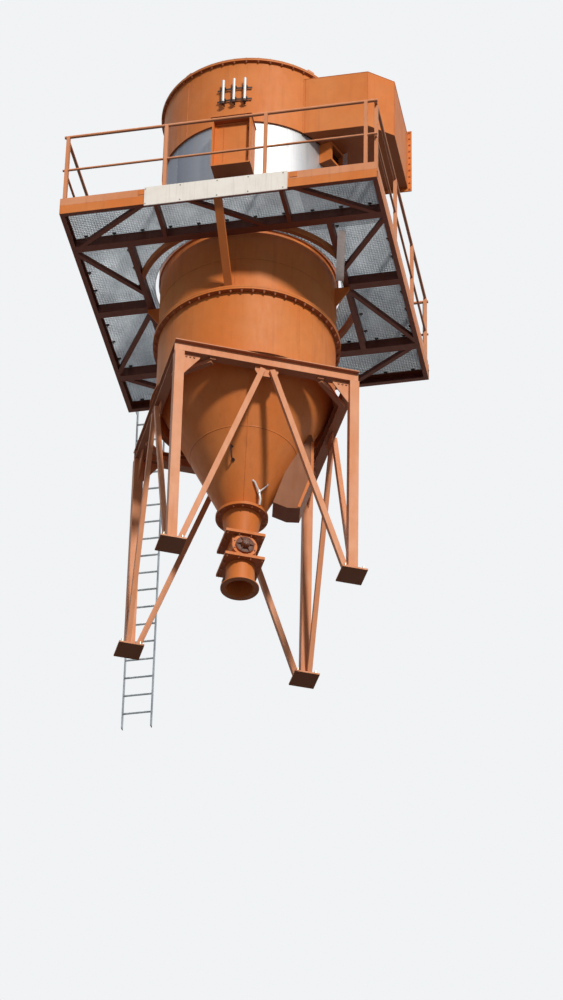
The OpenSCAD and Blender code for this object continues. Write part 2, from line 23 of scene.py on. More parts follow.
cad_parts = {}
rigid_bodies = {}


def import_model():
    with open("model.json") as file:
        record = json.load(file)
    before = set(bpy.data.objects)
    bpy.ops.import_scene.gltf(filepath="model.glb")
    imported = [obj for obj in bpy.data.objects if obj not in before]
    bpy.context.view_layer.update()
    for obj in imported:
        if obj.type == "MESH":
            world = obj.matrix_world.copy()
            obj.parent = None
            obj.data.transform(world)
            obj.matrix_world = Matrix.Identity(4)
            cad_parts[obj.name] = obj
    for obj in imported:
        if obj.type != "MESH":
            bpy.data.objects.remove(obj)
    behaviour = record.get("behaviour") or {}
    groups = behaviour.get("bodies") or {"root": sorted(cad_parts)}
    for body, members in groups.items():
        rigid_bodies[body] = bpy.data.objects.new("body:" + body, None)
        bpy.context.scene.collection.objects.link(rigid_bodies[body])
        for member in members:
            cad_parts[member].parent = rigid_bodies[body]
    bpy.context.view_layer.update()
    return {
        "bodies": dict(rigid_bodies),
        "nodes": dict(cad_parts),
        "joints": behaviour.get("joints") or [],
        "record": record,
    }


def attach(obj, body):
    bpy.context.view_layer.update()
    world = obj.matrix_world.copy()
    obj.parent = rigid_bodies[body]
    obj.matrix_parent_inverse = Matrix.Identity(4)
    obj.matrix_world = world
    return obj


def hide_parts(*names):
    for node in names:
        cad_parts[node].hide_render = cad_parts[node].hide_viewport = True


LOG = logging.getLogger("cyclone")
UP, FRONT = Vector((0.0, 0.0, 1.0)), Vector((0.0, -1.0, 0.0))
TURN = math.radians(25.5)  # turn of the platform against the frame, clockwise from above
DECK = Matrix.Rotation(-TURN, 4, "Z")
GAP = 0.0003  # clearance between neighbouring pieces
Point = Sequence[float]
Span = tuple[float, float]
Socket = bpy.types.NodeSocket
Value = Union[Socket, float, str, Point]


def linear(code: str) -> tuple[float, ...]:
    """Turns an sRGB hex colour to linear light.

    Args:
        code: The colour as #RRGGBB.

    Returns:
        Red, green, blue and an alpha of 1.
    """
    parts = [int(code[i : i + 2], 16) / 255 for i in (1, 3, 5)]
    return (*[p / 12.92 if p <= 0.04045 else ((p + 0.055) / 1.055) ** 2.4 for p in parts], 1.0)


class Finish(Enum):
    """The finishes that the pieces take."""

    ORANGE = "orange_enamel"
    BLEACHED = "bleached_enamel"
    STAINED = "dust_stained_enamel"
    SHELTERED = "sheltered_enamel"
    CLADDING = "rolled_aluminium"
    ZINC = "hot_dip_zinc"
    ZINC_BARS = "zinc_grating"
    BOARD = "white_enamel"
    BOLT = "zinc_plated_bolt"
    PAINTED_BOLT = "painted_bolt"
    IRON = "brown_cast_iron"
    BRIGHT_TUBE = "bright_steel_tube"
    DARK_CLAMP = "blackened_clamp"
    RUBBER = "neoprene_gasket"


class Layers:
    """Nodes of a material or world, laid over each other with patterns of real sizes."""

    def __init__(self, owner: bpy.types.Material | bpy.types.World) -> None:
        """Takes the tree of a new material or world."""
        owner.use_nodes = True
        self.tree = owner.node_tree

    @cached_property
    def place(self) -> Socket:
        """Returns the places on the piece, in metres."""
        return self.add("TexCoord")["Object"]

    def feed(self, node: bpy.types.Node, inputs: dict[int | str, Value]) -> None:
        """Sets or links a node's inputs.

        Args:
            node: The node.
            inputs: Input name or index to a value, or to the socket that feeds it.
        """
        for key, value in inputs.items():
            if isinstance(value, Socket):
                self.tree.links.new(value, node.inputs[key])
            else:
                node.inputs[key].default_value = value

    def add(self, kind: str, inputs: dict[int | str, Value] | None = None,
            **settings: object) -> bpy.types.bpy_prop_collection:
        """Adds a node with its settings and links.

        Args:
            kind: The node's type without the ShaderNode prefix.
            inputs: Its inputs, as feed takes them.
            **settings: Properties of the node itself.

        Returns:
            The new node's outputs.
        """
        made = self.tree.nodes.new("ShaderNode" + kind)
        for key, value in settings.items():
            setattr(made, key, value)
        self.feed(made, inputs or {})
        return made.outputs

    def deck_place(self) -> Socket:
        """Returns the places along the platform's own axes."""
        return self.add("VectorRotate", {"Vector": self.place, "Axis": UP, "Angle": TURN})[0]

    def grain(self, size_mm: Point, low: float, high: float, detail: float = 3.0,
              place: Socket | None = None) -> Socket:
        """Lays noise with features of a real size, stretched to 0 to 1 between two of its levels.

        Args:
            size_mm: Feature size along X, Y and Z.
            low: Noise level that gives 0.
            high: Noise level that gives 1.
            detail: Octaves of the noise.
            place: Places in metres, where they aren't the piece's own.

        Returns:
            The value.
        """
        place = self.place if place is None else place
        scaled = self.add("Mapping", {"Vector": place, "Scale": [1000 / s for s in size_mm]})[0]
        noise = self.add("TexNoise", {"Vector": scaled, "Scale": 1.0, "Detail": detail, "Roughness": 0.55})[0]
        return self.add("MapRange", {"Value": noise, "From Min": low, "From Max": high})[0]

    def lay(self, below: Value, above: Value, *shares: Value) -> Socket:
        """Lays one colour over another.

        Args:
            below: The lower colour, as hex or as a socket.
            above: The upper colour, as hex or as a socket.
            *shares: Values whose product is how much of the upper colour shows.

        Returns:
            The mixed colour.
        """
        amount = shares[0]
        for share in shares[1:]:
            amount = self.total((amount, share))
        pair = [linear(colour) if isinstance(colour, str) else colour for colour in (below, above)]
        return self.add("Mix", {0: amount, 6: pair[0], 7: pair[1]}, data_type="RGBA")[2]

    def total(self, *terms: tuple[Value, Value], start: Value = 0.0) -> Socket:
        """Adds up products of two values.

        Args:
            *terms: The pairs to multiply.
            start: Value that the sum starts from.

        Returns:
            The sum.
        """
        for one, other in terms:
            start = self.add("Math", {0: one, 1: other, 2: start}, operation="MULTIPLY_ADD")[0]
        return start

    def facing(self, low: float, high: float) -> Socket:
        """Returns a share by the height of a face's normal, 0 at low and 1 at high."""
        height = self.add("SeparateXYZ", {0: self.add("NewGeometry")["Normal"]})["Z"]
        return self.add("MapRange", {"Value": height, "From Min": low, "From Max": high})[0]

    def edges(self, radius_mm: float, full: float) -> Socket:
        """Finds outer edges by how far the rounded normal leaves the true one.

        Args:
            radius_mm: Reach of the rounding.
            full: Difference that gives 1.

        Returns:
            The share, 0 away from edges.
        """
        rounded = self.add("Bevel", {"Radius": radius_mm / 1000}, samples=4)[0]
        normals = {0: rounded, 1: self.add("NewGeometry")["Normal"]}
        likeness = self.add("VectorMath", normals, operation="DOT_PRODUCT")["Value"]
        return self.add("MapRange", {"Value": likeness, "From Min": 0.98, "From Max": 1 - full})[0]

    def relief(self, *steps: tuple[Socket, float]) -> Socket:
        """Chains bumps.

        Args:
            *steps: Height, and how many millimetres a height of 1 is; coarse first.

        Returns:
            The normal.
        """
        inputs: dict[str, Value] = {}
        for height, high_mm in steps:
            inputs |= {"Height": height, "Distance": high_mm / 1000, "Strength": 1.0}
            inputs["Normal"] = self.add("Bump", inputs)[0]
        return inputs["Normal"]


@dataclass(frozen=True)
class Surface:
    """A finish: shade lays its nodes."""

    finish: Finish

    def make(self) -> bpy.types.Material:
        """Builds the material.

        Returns:
            The new material.
        """
        material = bpy.data.materials.new(self.finish.value)
        layers = Layers(material)
        layers.feed(layers.tree.nodes["Principled BSDF"], self.shade(layers))
        return material


@dataclass(frozen=True)
class AlkydEnamel(Surface):
    """Alkyd enamel, sprayed on blasted plate and sun bleached.

    It gives the eye a warm orange with pale chalky clouds, thin brown runs down the walls, pale dust
    on what looks up, a painted shade on what looks down, red primer at the worn edges and a soft
    gloss broken by orange peel.
    """

    finish: Finish = Finish.ORANGE
    paint: str = "#D97A36"
    faded: str = "#E0945A"
    runs: str = "#9C562C"
    dust: str = "#DDB094"
    soot: str = "#6B3622"
    primer: str = "#6E3324"

    def coat(self, layers: Layers) -> Socket:
        """Returns the clean coat's colour, bleached in clouds about 0.8 m wide."""
        return layers.lay(self.paint, self.faded, layers.grain((800, 800, 1100), 0.38, 0.72), 0.6)

    def shade(self, layers: Layers) -> dict[str, Value]:
        """Lays the coat, clouds, runs, dust, chips, rust spots and a painted shade on what looks down.

        Args:
            layers: The material's nodes.

        Returns:
            The shader's inputs.
        """
        grain, facing, lay = layers.grain, layers.facing, layers.lay
        colour = lay(self.coat(layers), self.runs, grain((120, 120, 160), 0.35, 0.8, 4), 0.16)
        walls = facing(0.75, 0.35), facing(-0.75, -0.35)
        colour = lay(colour, self.runs, grain((70, 70, 1500), 0.54, 0.8, 5), *walls, 0.32)
        colour = lay(colour, self.dust, facing(0.35, 0.9), grain((90, 90, 90), 0.2, 0.7), 0.75)
        # painted shade: faces that look down are darkened towards a dark brown
        colour = lay(colour, self.soot, facing(-0.5, -0.95), 0.7)
        colour = lay(colour, self.primer, layers.edges(6, 0.2), grain((30, 30, 30), 0.42, 0.6, 4), 0.75)
        spots, patches = grain((16, 16, 22), 0.7, 0.76, 2), grain((600, 600, 600), 0.5, 0.68)
        gloss = grain((60, 60, 240), 0.25, 0.75, 4)
        # orange peel is 3 to 6 mm across; it is drawn at 9 mm so that it shows
        peel = grain((9, 9, 9), 0.2, 0.8, 2)
        return {
            "Base Color": lay(colour, self.primer, spots, patches, 0.8),
            "Specular IOR Level": 0.3,
            "Roughness": layers.add("MapRange", {"Value": gloss, "To Min": 0.46, "To Max": 0.66})[0],
            "Normal": layers.relief((grain((420, 420, 520), 0.2, 0.8, 1), 1.2), (peel, 0.25)),
        }


@dataclass(frozen=True)
class ShelteredEnamel(AlkydEnamel):
    """The same enamel over the platform's steelwork, darker under the grating.

    It gives the eye dark maroon beams under the grating, partly a darker coat and partly a painted
    shade, with the orange coat only on the outer faces of the edge channels and on the arcs around
    the barrel.
    """

    finish: Finish = Finish.SHELTERED
    maroon: str = "#5A2A20"
    half: Span = (2.05, 2.02)
    arc: Span = (1.38, 1.452)
    beams: Span = (1.2645, 1.2520)

    def coat(self, layers: Layers) -> Socket:
        """Lays the orange coat outside and on the arcs, and elsewhere the maroon, partly painted shade.

        Args:
            layers: The material's nodes.

        Returns:
            The coat's colour.
        """
        # painted shade, with a darker coat: all but the outer faces and the arcs turn maroon
        size = layers.add("VectorMath", {0: layers.deck_place()}, operation="ABSOLUTE")[0]
        axes = layers.add("SeparateXYZ", {0: size})
        flat = layers.add("VectorMath", {0: layers.place, 1: (1, 1, 0)}, operation="MULTIPLY")[0]
        radius = layers.add("VectorMath", {0: flat}, operation="LENGTH")["Value"]
        ring = {0: radius, 1: sum(self.arc) / 2, 2: (self.arc[1] - self.arc[0]) / 2}
        lit = layers.add("Math", ring, operation="COMPARE")[0]
        for axis, beam in zip(axes, self.beams):
            lit = layers.total((lit, layers.add("Math", {0: axis, 1: beam}, operation="LESS_THAN")[0]))
        for axis, half in zip(axes, self.half):
            face = {"Value": axis, "From Min": half - 0.006, "From Max": half - 0.002}
            lit = layers.add("Math", {0: lit, 1: layers.add("MapRange", face)[0]}, operation="MAXIMUM")[0]
        return layers.lay(self.maroon, super().coat(layers), lit)


@dataclass(frozen=True)
class RolledAluminium(Surface):
    """Mill finish aluminium sheet, rolled, wrapped round the barrel and riveted at its laps.

    It gives the eye a bright, wavy, horizontally brushed sheen whose tone jumps from sheet to
    sheet, with pale streaks of dust that run down from the head and a painted shade that darkens
    the sheets towards the platform's left. Its foot is a flashing that is painted like the drum
    below it.
    """

    finish: Finish = Finish.CLADDING
    metal: str = "#CDD0D4"
    # dull also serves as the painted shade towards the platform's left
    dull: str = "#6A7180"
    dust: str = "#B0A496"
    paint: str = "#B9622B"
    radius: float = 1.172
    sheets: int = 9
    row: float = 0.935
    foot: float = 5.283
    flashing: float = 0.2
    streaks: Span = (5.9, 7.1)

    def shade(self, layers: Layers) -> dict[str, Value]:
        """Lays the sheets, their mill lines, streaks, painted shade and flashing.

        Args:
            layers: The material's nodes.

        Returns:
            The shader's inputs.
        """
        add, total = layers.add, layers.total
        x, y, z = add("SeparateXYZ", {0: layers.place})
        angle = add("Math", {0: y, 1: x}, operation="ARCTAN2")[0]
        level = add("MapRange", {"Value": z, "From Min": self.foot, "From Max": self.foot + self.row}, clamp=False)[0]
        turn = total((angle, self.sheets / math.tau))
        cell = {k: add("Math", {0: value}, operation="FLOOR")[0] for k, value in enumerate((turn, level))}
        sheet = add("TexWhiteNoise", {0: add("CombineXYZ", cell)[0]})["Value"]
        arc = add("CombineXYZ", {0: total((angle, self.radius)), 2: z})[0]
        # mill lines are finer than 1 mm; they are drawn 6 mm apart so that they show
        rolled = layers.grain((420, 100, 6), 0.25, 0.8, 4, arc)
        below_head = add("MapRange", {"Value": z, "From Min": self.streaks[0], "From Max": self.streaks[1]})[0]
        streak = total((layers.grain((40, 40, 900), 0.48, 0.75, 4, arc), below_head))
        # painted shade: the sheets darken towards the left of the platform's front
        across = add("SeparateXYZ", {0: layers.deck_place()})["X"]
        weather = add("MapRange", {"Value": across, "From Min": 0.30, "From Max": -0.95, "To Max": 0.82})[0]
        tone = total((sheet, 0.22), (rolled, 0.12), start=weather)
        colour = layers.lay(layers.lay(self.metal, self.dull, tone), self.dust, streak, 0.4)
        top = self.foot + self.flashing
        bare = add("MapRange", {"Value": z, "From Min": top - 0.002, "From Max": top + 0.002})[0]
        return {
            "Base Color": layers.lay(self.paint, colour, bare),
            "Metallic": total((bare, 0.85)),
            "Roughness": total((streak, 0.25), (sheet, 0.12), start=0.45),
            "Normal": layers.relief((layers.grain((420, 420, 420), 0.2, 0.8, 1, arc), 5.0), (rolled, 0.05)),
        }


@dataclass(frozen=True)
class HotDipZinc(Surface):
    """Steel dipped in molten zinc.

    It gives the eye a blue-grey metal with crystals 10 to 25 mm wide, each of its own tone, dull
    where it has weathered, and a slightly lumpy skin. Where panel is given, squares of that width
    each have their own tone, and a painted shade darkens them towards the inlet's side.
    """

    finish: Finish = Finish.ZINC
    bright: str = "#BCC4C9"
    dull: str = "#7F888F"
    spangle_mm: float = 18.0
    roughness: float = 0.42
    panel: float = 0.0
    grey: str = "#5E646C"
    stain: str = "#8A6A55"
    rubbed: str = "#DCE2E6"

    def shade(self, layers: Layers) -> dict[str, Value]:
        """Lays the crystals, the weathering, the stains, the panels' tones and their painted shade.

        Args:
            layers: The material's nodes.

        Returns:
            The shader's inputs.
        """
        add, grain, lay, total = layers.add, layers.grain, layers.lay, layers.total
        crystal = add("TexVoronoi", {"Vector": layers.place, "Scale": 1000 / self.spangle_mm})["Color"]
        tone = add("SeparateColor", {0: crystal})[0]
        mixed = total((tone, 0.4), (grain((300, 300, 300), 0.3, 0.75, 5), 0.6))
        colour = lay(self.bright, self.dull, mixed)
        colour = lay(colour, self.stain, grain((60, 60, 200), 0.62, 0.8, 5), 0.45)
        if self.panel:
            place = layers.deck_place()
            cell = add("VectorMath", {0: place, 1: (self.panel, self.panel, 9.0)}, operation="SNAP")[0]
            across = add("SeparateXYZ", {0: place})["X"]
            # painted shade: the panels darken towards the inlet's side
            aged = add("MapRange", {"Value": across, "From Min": -1.5, "From Max": 2.0, "To Max": 0.4})[0]
            batch = add("TexWhiteNoise", {0: cell})["Value"]
            colour = lay(colour, self.grey, total((batch, 0.4), start=aged))
        rough = {"Value": mixed, "To Min": self.roughness - 0.08, "To Max": self.roughness + 0.2}
        return {
            "Base Color": lay(colour, self.rubbed, layers.edges(3, 0.2), 0.35),
            "Metallic": 0.85,
            "Roughness": add("MapRange", rough)[0],
            "Normal": layers.relief((grain((12, 12, 12), 0.2, 0.8, 2), 0.3)),
        }


@dataclass(frozen=True)
class WhiteEnamel(Surface):
    """Stove enamel on sheet steel, left blank.

    It gives the eye a clean warm white with a soft gloss, faint dirt runs from its upper edge and
    small chips with rust at the rim.
    """

    finish: Finish = Finish.BOARD
    paint: str = "#F8F5F0"
    dirt: str = "#CFC3B8"
    rust: str = "#7A4632"

    def shade(self, layers: Layers) -> dict[str, Value]:
        """Lays the coat, its dirt and its chips.

        Args:
            layers: The material's nodes.

        Returns:
            The shader's inputs.
        """
        grain, lay = layers.grain, layers.lay
        cloud = grain((260, 260, 180), 0.4, 0.8, 4)
        colour = lay(self.paint, self.dirt, grain((28, 28, 500), 0.5, 0.78, 5), 0.4)
        colour = lay(colour, self.dirt, cloud, 0.25)
        chips = grain((22, 22, 22), 0.48, 0.62, 4)
        return {
            "Base Color": lay(colour, self.rust, layers.edges(5, 0.15), chips, 0.8),
            "Roughness": layers.add("MapRange", {"Value": cloud, "To Min": 0.3, "To Max": 0.5})[0],
            "Normal": layers.relief((grain((300, 300, 300), 0.2, 0.8, 1), 1.5)),
        }


@dataclass(frozen=True)
class SmallMetal(Surface):
    """Plated, blackened or cast small parts: bolts, clamps, housings and tubes.

    It gives the eye a fine cast or turned skin with darker pits and brighter rubbed edges.
    """

    tone: str
    pits: str
    rubbed: str
    metallic: float
    roughness: float
    skin_mm: float = 6.0
    depth_mm: float = 0.15

    def shade(self, layers: Layers) -> dict[str, Value]:
        """Lays the skin with its pits and rubbed edges.

        Args:
            layers: The material's nodes.

        Returns:
            The shader's inputs.
        """
        skin = layers.grain((self.skin_mm,) * 3, 0.3, 0.75, 4)
        mixed = layers.total((skin, 0.35), (layers.grain((70, 70, 110), 0.4, 0.75, 4), 0.5))
        colour = layers.lay(self.tone, self.pits, mixed)
        rough = {"Value": mixed, "To Min": self.roughness - 0.08, "To Max": self.roughness + 0.22}
        return {
            "Base Color": layers.lay(colour, self.rubbed, layers.edges(2, 0.2), 0.5),
            "Metallic": self.metallic,
            "Roughness": layers.add("MapRange", rough)[0],
            "Normal": layers.relief((skin, self.depth_mm)),
        }


FINISHES: tuple[Surface, ...] = (
    AlkydEnamel(),
    # rolled sections in full sun: the same enamel, bleached to salmon
    AlkydEnamel(Finish.BLEACHED, "#D98F62", "#E8AC8A", "#A25C3A", "#E3BBA5"),
    # the chute: the enamel darkened to brown all over, a painted shade
    AlkydEnamel(Finish.STAINED, "#8C5634", "#A07052", "#553322", "#B59A88"),
    # the platform's steel: maroon under the grating, partly a darker coat and partly painted shade
    ShelteredEnamel(),
    RolledAluminium(),
    HotDipZinc(),
    # grating bars dull faster than plate; panels vary in tone and get a painted shade towards the inlet
    HotDipZinc(Finish.ZINC_BARS, "#DCE3E8", "#ACB5BD", 14.0, 0.5, 1.0),
    WhiteEnamel(),
    # electroplated zinc: bright, with a yellow passivation in the threads
    SmallMetal(Finish.BOLT, "#B5B2A4", "#7C6A50", "#E0DED6", 1.0, 0.38),
    # bolts coated with the plate that they hold
    SmallMetal(Finish.PAINTED_BOLT, "#B8683A", "#7A3F28", "#D99A72", 0.0, 0.5),
    # grey iron under brown enamel, cast in sand: a coarse matt skin
    SmallMetal(Finish.IRON, "#6A3A28", "#3E2218", "#9A6A50", 0.0, 0.55, 7.0, 0.5),
    # drawn tube, pickled white
    SmallMetal(Finish.BRIGHT_TUBE, "#EDEFEF", "#C9CCCC", "#FFFFFF", 0.35, 0.32),
    # forged clamps, blackened in oil
    SmallMetal(Finish.DARK_CLAMP, "#3A2620", "#241814", "#6A4A3C", 0.2, 0.5),
    # cut sheet rubber, matt and nearly black
    SmallMetal(Finish.RUBBER, "#23211F", "#171615", "#3A3734", 0.0, 0.8),
)


def aim(at: Point, axis: Point) -> Matrix:
    """Returns the matrix that puts a shape's origin at a point and its +Z along an axis."""
    return Matrix.Translation(Vector(at)) @ Vector(axis).normalized().to_track_quat("Z", "Y").to_matrix().to_4x4()


def polar(radius: float, degrees: float, z: float = 0.0) -> Vector:
    """Returns the point at a radius, at an angle from +X in degrees and at level z."""
    return Vector((radius * math.cos(math.radians(degrees)), radius * math.sin(math.radians(degrees)), z))


def band(inner: float, outer: float, low: float, top: float) -> list[Span]:
    """Returns the profile of a flat band around Z, from its radii and levels."""
    return [(inner, low), (outer, low), (outer, top), (inner, top)]


def steps(start: float, end: float, count: int) -> list[float]:
    """Returns the places of a count of equal steps from start to end, both ends included."""
    return [start + (end - start) * k / count for k in range(count + 1)]


class BoltRing(NamedTuple):
    """Bolts on a circle around the barrel's axis."""

    radius: float
    count: int
    first: float  # angle of the first in degrees
    thread: float


@dataclass
class Shape:
    """Vertices and faces gathered for one piece, in metres."""

    place: Matrix = field(default_factory=lambda: Matrix.Identity(4))
    verts: list[Vector] = field(default_factory=list)
    faces: list[Sequence[int]] = field(default_factory=list)

    def add(self, verts: Iterable[Point], faces: Iterable[Sequence[int]], place: Matrix | None = None) -> None:
        """Adds vertices and faces.

        Args:
            verts: The new vertices.
            faces: Faces that count from the first new vertex.
            place: Where they go, inside the shape's own place.
        """
        base = len(self.verts)
        matrix = self.place @ place if place else self.place
        self.verts += [matrix @ Vector(v) for v in verts]
        self.faces += [[base + i for i in face] for face in faces]

    def box(self, corner: Point, other: Point, place: Matrix | None = None, chamfer: float = 0.0) -> None:
        """Adds a box.

        Args:
            corner: One of its corners.
            other: The corner opposite to it.
            place: Where it goes.
            chamfer: Width of its cut edges, 0 for sharp ones.
        """
        a, b = Vector(corner), Vector(other)
        work = bmesh.new()
        bmesh.ops.create_cube(work, size=1, matrix=Matrix.LocRotScale((a + b) / 2, None, Vector(map(abs, b - a))))
        if chamfer:
            bmesh.ops.bevel(work, geom=work.edges[:], offset=chamfer, segments=1, affect="EDGES")
        work.verts.index_update()
        self.add([v.co for v in work.verts], [[v.index for v in face.verts] for face in work.faces], place)
        work.free()

    def turned(self, profile: Sequence[Span], sides: int, place: Matrix | None = None,
               start: float = 0.0, sweep: float = 360.0) -> None:
        """Turns a closed profile around Z.

        Args:
            profile: Points as radius and level; a radius of 0 stays a point.
            sides: Steps around.
            place: Where it goes.
            start: First angle in degrees.
            sweep: Angle that is covered, in degrees.
        """
        whole = sweep >= 360
        rows = sides if whole else sides + 1
        verts = [polar(r, start + sweep * i / sides, z) for i in range(rows) for r, z in profile]
        n, faces = len(profile), []
        for i, k in product(range(sides), range(n)):
            j, m = (i + 1) % rows, (k + 1) % n
            quad = [i * n + k, j * n + k, j * n + m, i * n + m]
            for point in (k, m):
                if profile[point][0] == 0:
                    quad.remove(j * n + point)
            if len(quad) > 2:
                faces.append(quad)
        if not whole:
            faces += [list(range(n)), [sides * n + k for k in range(n)]]
        self.add(verts, faces, place)

    def rod(self, a: Point, b: Point, radius: float, sides: int = 16, chamfer: float = 0.0) -> None:
        """Adds a round bar.

        Args:
            a: Middle of one end.
            b: Middle of the other.
            radius: Its radius.
            sides: Sides of its section.
            chamfer: Width of the cut at its ends, 0 for none.
        """
        line, c = Vector(b) - Vector(a), chamfer
        end, rim = line.length, [(radius, c), (radius, line.length - c)]
        if c:
            rim = [(radius - c, 0), *rim, (radius - c, end)]
        self.turned([(0, 0), *rim, (0, end)], sides, aim(a, line))

    def bar(self, a: Point, b: Point, wide: float, high: float) -> None:
        """Adds a flat bar.

        Args:
            a: Middle of one end.
            b: Middle of the other.
            wide: Size across.
            high: Size along Z where the bar is level.
        """
        line = Vector(b) - Vector(a)
        place = Matrix.Translation(Vector(a)) @ line.to_track_quat("X", "Z").to_matrix().to_4x4()
        self.box((0, -wide / 2, -high / 2), (line.length, wide / 2, high / 2), place)

    def pipe(self, points: Sequence[Point], radius: float, sides: int = 10) -> None:
        """Sweeps a round section along a line of points.

        Args:
            points: Centre line.
            radius: Radius of the section.
            sides: Sides of the section.
        """
        line = [Vector(p) for p in points]
        last = len(line) - 1
        tangents = [(line[min(i + 1, last)] - line[max(i - 1, 0)]).normalized() for i in range(last + 1)]
        side = tangents[0].orthogonal().normalized()
        verts: list[Vector] = []
        for here, along in zip(line, tangents):
            side = (side - along * side.dot(along)).normalized()
            other = along.cross(side)
            turns = (math.tau * k / sides for k in range(sides))
            verts += [here + (side * math.cos(a) + other * math.sin(a)) * radius for a in turns]
        faces: list[Sequence[int]] = [range(sides), range(last * sides, len(verts))]
        for i, k in product(range(last), range(sides)):
            a, b = i * sides + k, i * sides + (k + 1) % sides
            faces.append([a, b, b + sides, a + sides])
        self.add(verts, faces)

    def bolt(self, at: Point, axis: Point, thread: float, stud: float = 0.0) -> None:
        """Adds a hexagon head, or a nut with its stud end, on a washer.

        Args:
            at: Middle of the seat.
            axis: Direction away from the seat.
            thread: Thread diameter.
            stud: Length of thread that shows past a nut, 0 for a head.
        """
        place, washer, flat = aim(at, axis), thread * 0.14, thread * 0.93
        rim = washer + thread * (0.8 if stud else 0.64)
        self.turned([(0, 0), (thread * 1.05, 0), (thread * 1.05, washer), (0, washer)], 16, place)
        self.turned([(0, washer), (flat, washer), (flat, rim - thread * 0.1), (flat * 0.86, rim), (0, rim)], 6, place)
        if stud:
            end, r = rim + stud, thread / 2
            self.turned([(0, rim), (r, rim), (r, end), (r * 0.8, end + 0.002), (0, end + 0.002)], 10, place)

    def bolt_ring(self, ring: BoltRing, *seats: Span) -> None:
        """Adds bolts on a circle.

        Args:
            ring: The circle.
            *seats: Level and stud length of the nuts that look down, or 0 for heads that look up.
        """
        for i, (z, stud) in product(range(ring.count), seats):
            at = polar(ring.radius, ring.first + 360 * i / ring.count, z)
            self.bolt(at, -UP if stud else UP, ring.thread, stud)


Paints = dict[Finish, bpy.types.Material]


@dataclass
class Assembly:
    """A sub-assembly, which builds its pieces and gives each its finish."""

    paints: Paints

    def piece(self, name: str, shape: Shape, finish: Finish, slot: str, *nodes: str) -> None:
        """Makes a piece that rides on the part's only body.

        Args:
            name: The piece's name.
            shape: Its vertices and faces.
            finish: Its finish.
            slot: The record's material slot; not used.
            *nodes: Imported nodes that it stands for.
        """
        mesh = bpy.data.meshes.new(name)
        mesh.from_pydata(shape.verts, [], shape.faces)
        work = bmesh.new()
        work.from_mesh(mesh)
        bmesh.ops.recalc_face_normals(work, faces=work.faces)
        work.to_mesh(mesh)
        work.free()
        mesh.shade_smooth()
        mesh.set_sharp_from_angle(angle=math.radians(32))
        mesh.materials.append(self.paints[finish])
        piece = bpy.data.objects.new(name, mesh)
        bpy.context.scene.collection.objects.link(piece)
        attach(piece, "root")
        if nodes:
            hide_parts(*nodes)
        LOG.info("%s: %d faces", name, len(mesh.polygons))


@dataclass
class Dressing:
    """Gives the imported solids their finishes: some by the start of their names, the others by slot."""

    paints: Paints
    named: tuple[tuple[Finish, tuple[str, ...]], ...] = (
        # the platform's steel: maroon under the grating, partly a darker coat and partly painted shade
        (Finish.SHELTERED, ("deck_",)),
        (Finish.BLEACHED, ("leg_", "ring_", "chevron_", "handrail_", "roof")),
        # the chute takes the enamel darkened to brown, a painted shade
        (Finish.STAINED, ("side_chute",)),
    )
    slots: tuple[tuple[Finish, str], ...] = (
        (Finish.ORANGE, "orange_paint"),
        (Finish.IRON, "brown_paint"),
        (Finish.CLADDING, "bare_cladding"),
        (Finish.ZINC, "galvanised"),
        (Finish.BOARD, "board_white"),
    )

    def build(self, nodes: dict[str, bpy.types.Object], record: dict) -> None:
        """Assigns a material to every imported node.

        Args:
            nodes: Node name to object.
            record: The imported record.
        """
        slot_of = {part["node"]: part["material_slot"] for part in record["subparts"]}
        for name, node in nodes.items():
            finishes = [finish for finish, starts in self.named if name.startswith(starts)]
            finishes += [finish for finish, slot in self.slots if slot == slot_of[name]]
            node.data.materials.clear()
            node.data.materials.append(self.paints[finishes[0]])
        LOG.info("dressed %d packed nodes", len(nodes))


